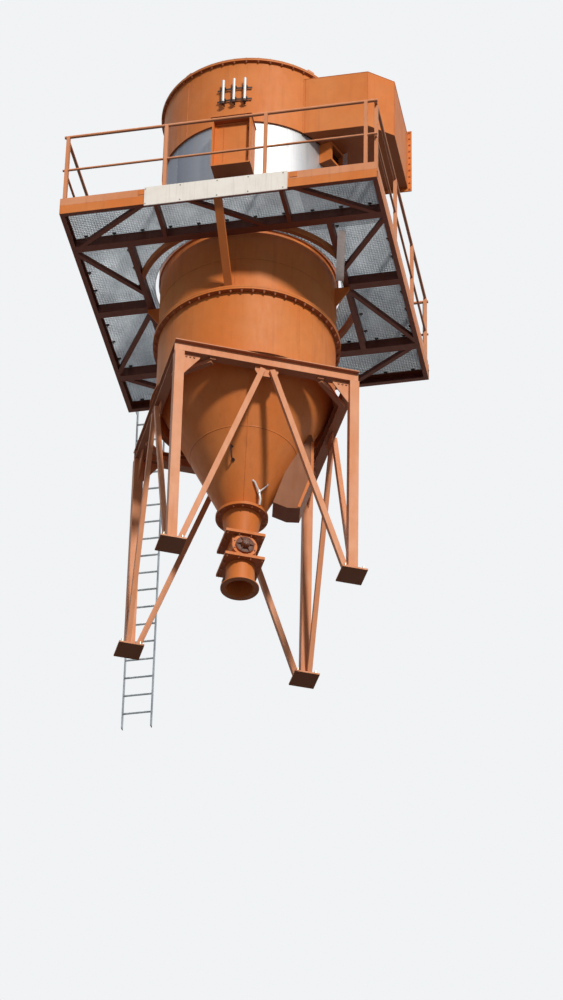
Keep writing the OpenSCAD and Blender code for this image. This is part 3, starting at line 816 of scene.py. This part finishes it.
@dataclass
class Barrel(Assembly):
    """Bolts, welds, laps, rivets and fittings of the barrel, head and cone."""

    upper_r: float = 1.150
    drum_r: float = 1.145
    clad_r: float = 1.172
    head_r: float = 1.200
    drum_low: float = 3.215
    flange: Span = (4.225, 4.2853)
    upper_top: float = 5.260
    seam_z: float = 4.780
    head_low: float = 7.155
    roof: Span = (8.210, 8.2503)
    rows: tuple[float, float, float] = (5.283, 6.218, 7.139)
    sheets: int = 9
    cone_r: float = 0.250
    cone_low: float = 1.500
    cone_slope: float = 0.46668
    cone_seam: Span = (1.510, 3.360)
    bead_r: float = 0.0045
    drum_bolts: BoltRing = BoltRing(1.183, 52, 180 / 52, 0.020)
    roof_bolts: BoltRing = BoltRing(1.222, 48, 180 / 48, 0.016)
    lap: float = 0.036  # width of an upright lap
    rivets: int = 60  # in each level row
    tube: Span = (7.470, 7.860)
    tube_r: float = 0.019
    tube_out: float = 0.062
    tube_angles: tuple[float, ...] = (-6.6, 0.0, 6.6)
    clamps: Span = (7.520, 7.720)
    handle: Point = (-0.250, -0.468, 2.11)
    grip: Span = (0.09, 0.075)  # half its length, and how far it stands off

    def build(self) -> None:
        """Builds every piece of the barrel."""
        self.flange_bolting()
        self.welds()
        self.laps()
        self.tube_bank()
        self.cone_fittings()

    def flange_bolting(self) -> None:
        """Bolts and seals of the flange between the drums and of the head's flange."""
        bolts, seals = Shape(), Shape()
        bolts.bolt_ring(self.drum_bolts, (self.flange[0], 0.012), (self.flange[1], 0))
        bolts.bolt_ring(self.roof_bolts, (self.roof[0], 0.010), (self.roof[1], 0))
        self.piece("barrel_bolts", bolts, Finish.PAINTED_BOLT, "orange_paint")
        for r, wide, z in ((1.2095, 0.0035, 4.25535), (1.2400, 0.0036, 8.23595)):
            rim = [(r, z - 0.00025), (r + wide, z - 0.00075), (r + wide, z + 0.00075), (r, z + 0.00025)]
            seals.turned(rim, 180)
        self.piece("flange_seals", seals, Finish.RUBBER, "brown_paint")

    def cone_at(self, z: float) -> float:
        """Returns the cone's radius at a level."""
        return self.cone_r + (z - self.cone_low) * self.cone_slope

    def welds(self) -> None:
        """Weld beads of the drums, the head and the cone."""
        beads = Shape()
        for radius, low, top, angles in (
            (self.drum_r, self.drum_low, self.flange[0], (-68, 112)),
            (self.upper_r, self.flange[1], self.upper_top, (-112, 8, 128)),
            (self.head_r, self.head_low, self.roof[0], (-150, 95)),
        ):
            for degrees in angles:
                beads.pipe([polar(radius - 0.001, degrees, z) for z in steps(low, top, 6)], self.bead_r, 6)
        for degrees in (-100, 80):
            beads.pipe([polar(self.cone_at(z), degrees, z) for z in self.cone_seam], self.bead_r, 6)
        low, high = self.upper_r - 0.002, self.upper_r + 0.0025
        level = [(low, -0.006), (high, -0.003), (high, 0.003), (low, 0.006)]
        beads.turned([(r, self.seam_z + z) for r, z in level], 180)
        r = self.cone_at(2.42)
        beads.turned([(r - 0.005, 2.412), (r + 0.001, 2.4145), (r + 0.005, 2.4225), (r + 0.0045, 2.43)], 120)
        self.piece("weld_beads", beads, Finish.ORANGE, "orange_paint")

    def laps(self) -> None:
        """Laps between the cladding sheets with their rivets."""
        laps, rivets = Shape(), Shape()
        low_r, high_r, ring_r = self.clad_r + 0.0002, self.clad_r + 0.0018, self.clad_r + 0.0022
        half = math.degrees(self.lap / 2 / self.clad_r)
        for row, i in product((0, 1), range(self.sheets)):
            degrees = 360 * i / self.sheets
            low, top = self.rows[row] + 0.004, self.rows[row + 1] - 0.004
            laps.turned(band(low_r, high_r, low, top), 2, None, degrees - half, 2 * half)
            for z in steps(low + 0.06, top - 0.06, 6):
                self.rivet(rivets, high_r, degrees, z)
        low, mid, top = self.rows
        laps.turned([(low_r, mid - 0.02), (ring_r, mid - 0.02), (ring_r, mid + 0.018), (low_r, mid + 0.02)], 180)
        for radius, z in ((ring_r, mid), (self.clad_r, low + 0.02), (self.clad_r, top - 0.025)):
            for i in range(self.rivets):
                self.rivet(rivets, radius, 360 * (i + 0.5) / self.rivets, z)
        self.piece("cladding_laps", laps, Finish.CLADDING, "bare_cladding")
        self.piece("cladding_rivets", rivets, Finish.BOLT, "galvanised")

    @staticmethod
    def rivet(shape: Shape, radius: float, degrees: float, z: float) -> None:
        """Adds a round rivet head 10 mm wide.

        Args:
            shape: Where it is gathered.
            radius: Distance of its seat from the barrel's axis.
            degrees: Its angle.
            z: Its level.
        """
        profile = [(0, 0), (0.0055, 0), (0.005, 0.0016), (0.003, 0.0028), (0, 0.003)]
        shape.turned(profile, 10, aim(polar(radius, degrees, z), polar(1, degrees)))

    def tube_bank(self) -> None:
        """Three upright tubes with end caps on blackened clamp bars, with a valve below each."""
        tubes, dark = Shape(DECK), Shape(DECK)
        face = -self.head_r - 0.060
        foot, head = self.tube
        for step in self.tube_angles:
            at = polar(self.head_r + self.tube_out, step - 90)
            out = at.normalized()
            side = out.cross(UP) * 0.045
            valve = at + UP * (foot - 0.018)
            tubes.rod(at + UP * foot, at + UP * head, self.tube_r, 20, 0.003)
            dark.rod(at + UP * (foot - 0.040), at + UP * (foot + 0.005), 0.026, 16, 0.004)
            dark.rod(valve, valve - out * 0.06, 0.011, 12)
            dark.rod(valve - side, valve + side, 0.009, 12)
            for z in self.clamps:
                turn = Matrix.Translation((0, 0, z)) @ Matrix.Rotation(math.radians(step), 4, "Z")
                dark.box((-0.034, face, -0.016), (0.034, face + 0.024, 0.016), turn, 0.003)
                dark.box((-0.012, face + 0.020, -0.012), (0.012, -self.head_r - 2 * GAP, 0.012), turn, 0.002)
                for x in (-0.027, 0.027):
                    dark.bolt(turn @ Vector((x, face, 0)), turn.to_3x3() @ FRONT, 0.008)
        radius = self.head_r + 0.028
        for z in self.clamps:
            dark.turned(band(radius - 0.006, radius, z - 0.014, z + 0.014), 16, None, -101, 22)
        self.piece("tube_clamps", dark, Finish.DARK_CLAMP, "galvanised")
        self.piece("upright_tubes", tubes, Finish.BRIGHT_TUBE, "galvanised", "tube_bank")

    def cone_fittings(self) -> None:
        """Handle on the cone and the thin branched pipe at its lower end."""
        handle, at, (half, high) = Shape(), Vector(self.handle), self.grip
        out = Vector((at.x, at.y, -0.2)).normalized()
        along = out.cross(UP).normalized().cross(out).normalized()
        bow = ((half, 0), (half, high - 0.015), (half - 0.02, high))
        bow = [(-a, b) for a, b in bow] + list(reversed(bow))
        handle.pipe([at + along * a + out * b for a, b in bow], 0.010)
        for a in (-half, half):
            handle.rod(at + along * a - out * 0.004, at + along * a + out * 0.010, 0.024, 16, 0.002)
        self.piece("cone_handle", handle, Finish.DARK_CLAMP, "orange_paint")
        pipe, joint = Shape(), (0.130, -0.345, 1.665)
        pipe.pipe([(0.037, -0.385, 1.80), (0.060, -0.400, 1.77), joint], 0.013, 12)
        pipe.pipe([(0.245, -0.330, 1.82), (0.235, -0.345, 1.79), joint], 0.010, 12)
        pipe.pipe([joint, (0.150, -0.340, 1.56), (0.150, -0.300, 1.50)], 0.015, 12)
        pipe.rod((0.132, -0.346, 1.640), (0.129, -0.344, 1.690), 0.022, 12, 0.003)
        self.piece("cone_pipe", pipe, Finish.BRIGHT_TUBE, "galvanised")


@dataclass
class Inlet(Assembly):
    """Seams, rim bolts and edge welds of the side inlet."""

    front: float = -0.850
    side: float = 2.030
    rim_front: float = 0.436
    low: float = 7.125
    top: float = 8.100
    seam: float = 0.880
    slant: Span = (0.315, 0.250)
    rim: float = 0.056
    head_r: float = 1.200

    def build(self) -> None:
        """Builds every piece of the inlet."""
        seams, bolts, levels = Shape(DECK), Shape(DECK), (self.low, self.top)
        seams.bar(*((self.seam, self.front - 0.0012, z) for z in levels), 0.010, 0.0024)
        corner = [(self.side - self.slant[0], self.front), (self.side, self.front + self.slant[1])]
        for x, y in corner:
            seams.pipe([(x, y, z) for z in levels], 0.005, 8)
        around = [(self.seam - 0.020, self.front), *corner, (self.side, self.rim_front)]
        for z in levels:
            seams.pipe([(x, y, z) for x, y in around], 0.0045, 8)
        self.piece("inlet_welds", seams, Finish.ORANGE, "orange_paint")
        left, right = self.head_r - self.rim / 2 + 0.002, self.side + self.rim / 2
        low, top = self.low - self.rim / 2, self.top + self.rim / 2
        across = [x for x in steps(left, right, 7) if math.hypot(x, self.rim_front) > self.head_r + 0.03]
        for x, z in (*product(across, (low, top)), *((right, z) for z in steps(low, top, 9)[1:-1])):
            bolts.bolt((x, self.rim_front, z), FRONT, 0.014)
        self.piece("inlet_bolts", bolts, Finish.PAINTED_BOLT, "orange_paint")


@dataclass
class Platform(Assembly):
    """Grating bars, clips, post feet and trim of the service platform, along its axes U and V."""

    half_u: float = 2.050
    half_v: float = 2.020
    edge: float = 0.060
    cross_v: float = 1.310
    long_u: float = 1.300
    hole_r: float = 1.215
    beam_top: float = 5.240
    rim: Span = (5.2403, 5.2703)
    bar: Span = (5.2403, 5.2701)
    rod: Span = (5.2407, 5.2698)
    pitch: float = 0.0333
    bar_t: float = 0.003
    clip_off: float = 0.085  # from a beam's middle or a channel's outer face
    board_z: Span = (5.095, 5.345)
    screws: tuple[float, ...] = (-0.93, -0.48, 0.0, 0.40, 0.85)
    knee_z: float = 5.110
    strip: tuple[Point, Point] = ((1.435, -1.10, 5.0982), (1.235, -0.15, 5.0982))

    def build(self) -> None:
        """Builds every piece of the platform."""
        for name, bay, sign in (("front", self.end_bay, -1), ("back", self.end_bay, 1),
                                ("left", self.side_bay, -1), ("right", self.side_bay, 1)):
            self.piece(f"grating_bars_{name}", bay(sign), Finish.ZINC_BARS, "galvanised", f"grating_{name}")
        self.clips()
        self.post_feet()
        self.trim()

    def end_bay(self, sign: int) -> Shape:
        """Lays bars across the front or back bay, over the stubs of the edge channel.

        Args:
            sign: -1 for the front, 1 for the back.

        Returns:
            The bay's grating.
        """
        shape, end = Shape(DECK), self.half_u - self.edge
        low, top = sorted((sign * (self.half_v - self.edge), sign * self.cross_v))
        for v in steps(low, top - self.bar_t, round((top - low) / self.pitch)):
            shape.box(*zip((0.0005 - end, end - 0.0005), (v, v + self.bar_t), self.bar))
        for u in steps(-end, end, int(2 * end / self.pitch))[1:-1]:
            shape.box(*zip((u - 0.001, u + 0.001), (low + 0.0005, top - 0.0005), self.rod))
        for s in (-1, 1):
            shape.box(*zip((s * end, s * (end - 0.004)), (low + GAP, top - GAP), self.rim))
        return shape

    def side_bay(self, sign: int) -> Shape:
        """Lays bars from the barrel's hole to the edge channel of the left or right bay.

        Args:
            sign: -1 for the left, 1 for the right.

        Returns:
            The bay's grating.
        """
        shape, end, limit = Shape(DECK), self.half_u - self.edge, self.cross_v - GAP
        for v in steps(-limit, limit - self.bar_t, round(2 * limit / self.pitch)):
            start = max(self.reach(v + self.bar_t / 2), GAP)
            shape.box(*zip((sign * (start + 0.0005), sign * (end - 0.0005)), (v, v + self.bar_t), self.bar))
        for u in steps(GAP, end, int((end - GAP) / self.pitch))[1:-1]:
            start = self.reach(u)
            for v in ((-limit, -start), (start, limit)) if start else ((-limit, limit),):
                shape.box(*zip((sign * u - 0.001, sign * u + 0.001), v, self.rod))
        shape.box(*zip((sign * (end - 0.004), sign * end), (-limit, limit), self.rim))
        for v in ((-limit, -self.hole_r), (self.hole_r, limit)):
            shape.box(*zip((sign * GAP, sign * (GAP + 0.004)), v, self.rim))
        shape.turned(band(self.hole_r, self.hole_r + 0.004, *self.rim), 72, None, -90 * sign, 180)
        return shape

    def reach(self, away: float) -> float:
        """Returns how far the barrel's hole reaches to a side, at a distance from its middle."""
        return math.sqrt(max(self.hole_r**2 - away**2, 0.0))

    def clips(self) -> None:
        """Saddle clips that hold the gratings down, with their bolts below the bars."""
        clips, z = Shape(DECK), self.rim[0]
        rows = (self.cross_v - self.clip_off, self.cross_v + self.clip_off, self.half_v - self.clip_off)
        spots = [(u, s * v) for s, u, v in product((-1, 1), steps(-1.85, 1.85, 10), rows)]
        columns = (self.long_u + 0.065, self.half_u - self.clip_off)
        spots += [(s * u, v) for s, v, u in product((-1, 1), steps(-1.05, 1.05, 6), columns)]
        for u, v in spots:
            if math.hypot(u, v) >= self.hole_r + 0.02:
                clips.box((u - 0.024, v - 0.014, z - 0.012), (u + 0.024, v + 0.014, z - 0.0005), None, 0.002)
                clips.rod((u, v, z - 0.045), (u, v, z - 0.010), 0.006, 8)
                clips.bolt((u, v, z - 0.012), -UP, 0.010)
        self.piece("grating_clips", clips, Finish.DARK_CLAMP, "galvanised")

    def post_feet(self) -> None:
        """Foot plates and bolts of the handrail posts, on the edge channels."""
        plates, bolts, z = Shape(DECK), Shape(DECK), self.beam_top
        end = self.half_v - self.edge - GAP
        # turn of each side from the front, its distance from the middle and where its posts stand
        for degrees, half, posts in (
            (0, self.half_v, (-2.0, -0.7, 0.6, 1.9)),
            (180, self.half_v, (-2.0, -0.9, 0.3)),
            (-90, self.half_u, (0.04 - end, -0.8, 0.48, end - 0.06)),
            (90, self.half_u, (0.06 - end, -0.48, 0.83, end - 0.04)),
        ):
            turn = Matrix.Rotation(math.radians(degrees), 4, "Z")
            for x in posts:
                plates.box((x - 0.055, 0.0085 - half, z + GAP), (x + 0.055, 0.0585 - half, z + 0.010), turn, 0.002)
                for s in (-0.040, 0.040):
                    bolts.bolt(turn @ Vector((x + s, 0.034 - half, z + 0.010)), UP, 0.012)
        self.piece("post_feet", plates, Finish.ORANGE, "orange_paint")
        self.piece("post_bolts", bolts, Finish.BOLT, "galvanised")

    def trim(self) -> None:
        """Splice plates of the toe boards, cable strip, and the screws of the board and the knee struts."""
        plates, strip, bolts = Shape(DECK), Shape(DECK), Shape(DECK)
        face = -self.half_v - GAP
        for u in (-0.98, 0.98):
            plates.box((u - 0.05, face - 0.006, 5.262), (u + 0.05, face, 5.345), None, 0.001)
        self.piece("toe_splices", plates, Finish.ORANGE, "orange_paint")
        strip.bar(*self.strip, 0.100, 0.003)
        for s in (-0.050, 0.050):
            lip = Vector((0.95, 0.20, 0)).normalized() * s - UP * 0.013
            strip.bar(*(Vector(end) + lip for end in self.strip), 0.003, 0.026)
        self.piece("cable_strip", strip, Finish.BRIGHT_TUBE, "galvanised")
        for u, z in product(self.screws, self.board_z):
            bolts.bolt((u, face - 0.012, z), FRONT, 0.010)
        for s, u in product((-1, 1), (-0.03, 0.03)):
            bolts.bolt((u, s * (self.half_v - 0.035), self.knee_z), UP, 0.012)
        self.piece("trim_bolts", bolts, Finish.BOLT, "galvanised")


@dataclass
class LegFrame(Assembly):
    """Anchors and gusset bolts of the support frame."""

    leg: float = 1.125
    pitch: float = 0.230
    base_t: float = 0.022
    plate_t: float = 0.007
    gusset_t: float = 0.012
    ring_low: float = 3.010

    def build(self) -> None:
        """Builds every piece of the frame."""
        anchors, bolts = Shape(), Shape()
        holes = [s * self.leg + t * self.pitch / 2 for s, t in product((-1, 1), repeat=2)]
        for x, y in product(holes, repeat=2):
            anchors.bolt((x, y, self.base_t), UP, 0.024, 0.035)
        self.piece("anchor_nuts", anchors, Finish.BOLT, "galvanised")
        face = -self.leg - self.plate_t
        gusset = face - GAP - self.gusset_t
        for quarter in range(4):
            turn = Matrix.Rotation(quarter * math.pi / 2, 4, "Z")
            seats = [((x, gusset, z), FRONT, 0.016) for x, z in product((-0.075, 0.075), (-0.055, -0.125))]
            for s, k in product((-1, 1), range(3)):
                seats.append(((s * (self.leg - 0.095 - 0.050 * k), face, -0.045), FRONT, 0.014))
                x = s * (self.leg - 0.020 - 0.045 * k)
                seats += [((x, y - self.leg, 0.014), UP, 0.014) for y in (-0.036, 0.036)]
            for at, axis, thread in seats:
                bolts.bolt(turn @ (Vector(at) + UP * self.ring_low), turn.to_3x3() @ axis, thread)
        self.piece("frame_bolts", bolts, Finish.PAINTED_BOLT, "orange_paint")


@dataclass
class Discharge(Assembly):
    """Bolting, covers and drive details below the cone, and the side chute's frame."""

    cone_low: float = 1.500
    hopper_low: float = 1.080
    valve_mid: float = 0.900
    valve_low: float = 0.720
    spout_low: float = 0.380
    cover_y: float = 0.228
    boss_y: float = 0.276
    motor_y: float = 0.3353
    cone_bolts: BoltRing = BoltRing(0.298, 16, 11, 0.014)
    spout_bolts: BoltRing = BoltRing(0.208, 8, 22.5, 0.014)
    cover_bolts: BoltRing = BoltRing(0.138, 8, 22.5, 0.012)  # on a level axis
    holes: tuple[float, ...] = (-0.222, -0.075, 0.075, 0.222)
    cover_r: Span = (0.0555, 0.118)  # radii of its hole and its edge
    fin_r: float = 0.0935
    chute_turn: float = -12.0
    chute_face: float = 0.8796832
    chute_half: float = 0.154
    chute_z: tuple[float, float, float] = (2.62, 2.10, 1.575)

    def build(self) -> None:
        """Builds every piece of the discharge."""
        bolts, ring = Shape(), self.cover_bolts
        bolts.bolt_ring(self.cone_bolts, (self.cone_low, 0), (self.cone_low - 0.0403, 0.008))
        bolts.bolt_ring(self.spout_bolts, (self.spout_low + 0.018, 0))
        for z, x, y in product((self.hopper_low, self.valve_low), self.holes, self.holes):
            if max(abs(x), abs(y)) > self.holes[2]:
                bolts.bolt((x, y, z + 0.020), UP, 0.014)
                bolts.bolt((x, y, z - 0.0203), -UP, 0.014, 0.008)
        for i in range(ring.count):
            at = polar(ring.radius, ring.first + 360 * i / ring.count)
            bolts.bolt((at.x, -0.210, self.valve_mid + at.y), FRONT, ring.thread)
        self.piece("discharge_bolts", bolts, Finish.PAINTED_BOLT, "orange_paint")
        self.cover()
        self.drive()
        self.chute()

    def cover(self) -> None:
        """Bearing cover of the valve with its ribs and grease nipple."""
        cover, place = Shape(), aim((0, 0, self.valve_mid), FRONT)
        face, top, boss = self.cover_y, self.cover_y + 0.007, self.boss_y
        hole, edge = self.cover_r
        disc = [(hole, face + GAP), (edge, face + GAP), (edge, face + 0.004), (edge - 0.006, top), (hole, top)]
        cap = [(0, boss + GAP), (0.052, boss + GAP), (0.052, boss + 0.010), (0.040, boss + 0.020), (0, boss + 0.022)]
        cover.turned(disc, 48, place)
        cover.turned(cap, 32, place)
        rib = [(hole, top), (edge - 0.008, top), (edge - 0.008, face + 0.011), (hole, face + 0.034)]
        sides = [(k, k + 4, (k + 1) % 4 + 4, (k + 1) % 4) for k in range(4)]
        for i in range(6):
            turn = place @ Matrix.Rotation(math.radians(60 * i), 4, "Z")
            cover.add([(x, y, z) for y in (-0.005, 0.005) for x, z in rib], [range(4), range(4, 8), *sides], turn)
            cover.bolt(turn @ Vector((0.030, 0, boss + 0.0205)), FRONT, 0.008)
        nipple = [(0, -face - 0.020, self.valve_mid + z) for z in (hole, 0.078)]
        cover.rod(*nipple, 0.005, 8)
        self.piece("bearing_cover", cover, Finish.IRON, "brown_paint")

    def drive(self) -> None:
        """Cooling fins and fan cowl of the valve's motor."""
        fins, y = Shape(), self.motor_y
        # three fins are left out where the motor's terminal box sits
        for i in range(2, 23):
            out = polar(self.fin_r, 15 * i)
            fins.bar(*((out.x, end, self.valve_mid + out.y) for end in (y + 0.020, y + 0.190)), 0.004, 0.013)
        cowl = [(0.0885, 0), (0.097, 0), (0.097, 0.066), (0.070, 0.078), (0, 0.078), (0, 0.072), (0.066, 0.072),
                (0.0885, 0.060)]
        fins.turned(cowl, 36, aim((0, y + 0.200, self.valve_mid), -FRONT))
        self.piece("motor_fins", fins, Finish.IRON, "brown_paint")

    def chute(self) -> None:
        """Angle frame and bolts around the outer face of the side chute."""
        turn = Matrix.Rotation(math.radians(self.chute_turn), 4, "Z")
        frame, bolts, x = Shape(turn), Shape(turn), self.chute_face - 0.018
        high, knee, low = self.chute_z
        for y in (-self.chute_half, self.chute_half):
            frame.bar((x, y, high), (x, y, knee), 0.008, 0.036)
            frame.bar((x, y, knee), (x - 0.160, y, low), 0.008, 0.036)
        self.piece("chute_frame", frame, Finish.ORANGE, "orange_paint")
        for z, y in product(steps(knee + 0.05, high - 0.07, 4), (-0.125, 0.125)):
            bolts.bolt((self.chute_face, y, z), (1, 0, 0), 0.012)
        self.piece("chute_bolts", bolts, Finish.PAINTED_BOLT, "orange_paint")


@dataclass
class Boxes(Assembly):
    """Seams and hinges of the inspection box, strip and slats of the side box."""

    front: float = -1.420
    left: float = -0.240
    right: float = 0.280
    low: float = 6.190
    top: float = 7.010
    panel: float = -1.330
    leaf: float = 0.030  # width of the folded frame round the panel
    inset: float = 0.022
    clad_r: float = 1.172
    side_turn: float = 69.0
    side_top: float = 7.1247

    def build(self) -> None:
        """Builds every piece of the two boxes."""
        trim, hinges = Shape(DECK), Shape(DECK)
        x0, x1, z0, z1 = self.left + self.inset, self.right - self.inset, self.low + self.inset, self.top - self.inset
        w, back = self.leaf, self.panel - 0.0005
        between = (x0 + w + 0.0002, x1 - w - 0.0002)
        # folded frame round the set back panel
        for x, z in (((x0, x0 + w), (z0, z1)), ((x1 - w, x1), (z0, z1)),
                     (between, (z0, z0 + w)), (between, (z1 - w, z1))):
            trim.box(*zip(x, (self.panel - 0.008, back), z), None, 0.0015)
        # joint between the panel's two leaves, and the drip edge over the opening
        trim.box((x0 + 0.116, self.panel - 0.006, z0 + w), (x0 + 0.124, back, z1 - w))
        trim.box((self.left - 0.012, self.front - 0.045, self.top + 0.0005),
                 (self.right + 0.012, 0.16 - self.clad_r, self.top + 0.006))
        self.piece("box_trim", trim, Finish.ORANGE, "orange_paint")
        for z in (self.low + 0.18, self.low + 0.62):
            hinge = [(x1 - 0.034, self.panel - 0.014, end) for end in (z, z + 0.07)]
            hinges.rod(*hinge, 0.008, 12, 0.001)
        self.piece("box_hinges", hinges, Finish.PAINTED_BOLT, "orange_paint")
        self.side_box()

    def side_box(self) -> None:
        """Galvanised guide strip, slats and screws of the side box."""
        place = DECK @ Matrix.Rotation(math.radians(self.side_turn), 4, "Z")
        strip, slats, face, top = Shape(place), Shape(place), -self.clad_r - 0.170, self.side_top
        for x, out in (((0.128, 0.134), 0.0655), ((0.1345, 0.168), 0.006)):
            strip.box(*zip(x, (face - out, face - 0.0005), (top - 0.318, top - 0.004)), None, 0.001)
        for z in (0.05, 0.16, 0.27):
            strip.bolt((0.151, face - 0.006, top - z), FRONT, 0.008)
        self.piece("side_box_strip", strip, Finish.BRIGHT_TUBE, "galvanised")
        for z in steps(top - 0.262, top - 0.082, 4):
            slats.box((-0.125, face + 0.060, z), (0.125, face + 0.096, z + 0.006))
        self.piece("side_box_slats", slats, Finish.DARK_CLAMP, "brown_paint")


@dataclass
class Studio:
    """Floor, lights, background and the camera."""

    floor_r: float = 190.0
    rim: int = 96
    eye: Point = (-8.993, -38.784, -29.420)
    look: Point = (0.18720, 0.76445, 0.61690)
    roll: float = 1.28
    sensor_mm: float = 36.0
    focal: float = 4.04162  # in widths of the sensor
    sun: Point = (-0.110, 0.883, -0.455)

    def build(self) -> None:
        """Builds the studio."""
        self.floor()
        self.light()
        self.camera()

    def floor(self) -> None:
        """Pale round floor, drawn from above only since the camera looks up from below it."""
        mesh = bpy.data.meshes.new("floor")
        rim = [polar(self.floor_r, 360 * i / self.rim, -0.002) for i in range(self.rim)]
        mesh.from_pydata(rim, [], [range(self.rim)])
        material = bpy.data.materials.new("pale_floor")
        layers = Layers(material)
        layers.tree.nodes.clear()
        colour = layers.lay("#EDEEF0", "#E6E7E9", layers.grain((180, 180, 180), 0.2, 0.8, 4), 0.3)
        matt, clear = layers.add("BsdfDiffuse", {"Color": colour})[0], layers.add("BsdfTransparent")[0]
        both = layers.add("MixShader", {0: layers.add("NewGeometry")["Backfacing"], 1: matt, 2: clear})[0]
        layers.add("OutputMaterial", {0: both})
        mesh.materials.append(material)
        floor = bpy.data.objects.new("floor", mesh)
        bpy.context.scene.collection.objects.link(floor)
        floor.visible_diffuse = False

    def light(self) -> None:
        """Soft key light from the front, a broad one overhead, a weak fill and a pale background."""
        world = bpy.data.worlds.new("studio")
        bpy.context.scene.world = world
        layers = Layers(world)
        layers.tree.nodes.clear()
        path = layers.add("LightPath")
        seen = path["Is Camera Ray"]
        for ray in ("Is Glossy Ray", "Is Transmission Ray"):
            seen = layers.add("Math", {0: seen, 1: path[ray]}, operation="MAXIMUM")[0]
        fill = layers.add("Background", {"Color": linear("#E6EDF7"), "Strength": 0.21})[0]
        pale = layers.add("Background", {"Color": linear("#F1F3F5"), "Strength": 1.0})[0]
        layers.add("OutputWorld", {0: layers.add("MixShader", {0: seen, 1: fill, 2: pale})[0]})
        self.lamp("key", 2.85, 6.0, Vector(self.sun))
        self.lamp("overhead", 1.1, 40.0, -UP)

    @staticmethod
    def lamp(name: str, strength: float, spread: float, direction: Vector) -> None:
        """Adds a broad far lamp.

        Args:
            name: The lamp's name.
            strength: Light on a face that looks at the lamp, in watts per square metre.
            spread: Width of the lamp as seen from the part, in degrees.
            direction: Way that the light travels.
        """
        light = bpy.data.lights.new(name, "SUN")
        light.energy = strength
        light.angle = math.radians(spread)
        light.color = linear("#FFF6EA")[:3]
        lamp = bpy.data.objects.new(name, light)
        lamp.rotation_mode = "QUATERNION"
        lamp.rotation_quaternion = direction.to_track_quat("-Z", "Y")
        bpy.context.scene.collection.objects.link(lamp)

    def camera(self) -> None:
        """Camera that looks up at the part, with the long side of the image as its sensor's width."""
        data = bpy.data.cameras.new("camera")
        data.sensor_width = self.sensor_mm
        data.lens = self.focal * self.sensor_mm
        data.clip_start, data.clip_end = 1.0, 300.0
        look = Vector(self.look).normalized()
        roll = Matrix.Rotation(-math.radians(self.roll), 3, look)
        right = roll @ look.cross(UP).normalized()
        matrix = Matrix((right, right.cross(look), -look)).transposed().to_4x4()
        matrix.translation = Vector(self.eye)
        camera = bpy.data.objects.new("camera", data)
        camera.matrix_world = matrix
        bpy.context.scene.collection.objects.link(camera)
        bpy.context.scene.camera = camera


def main() -> None:
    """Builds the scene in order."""
    logging.basicConfig(level=logging.INFO, format="%(name)s %(message)s")
    bpy.ops.wm.read_factory_settings(use_empty=True)
    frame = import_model()
    bpy.context.scene.view_settings.view_transform = "Standard"
    paints = {kind.finish: kind.make() for kind in FINISHES}
    Dressing(paints).build(frame["nodes"], frame["record"])
    for kind in (Barrel, Inlet, Platform, LegFrame, Discharge, Boxes):
        LOG.info("building %s", kind.__name__)
        kind(paints).build()
    Studio().build()


if __name__ == "__main__":
    main()
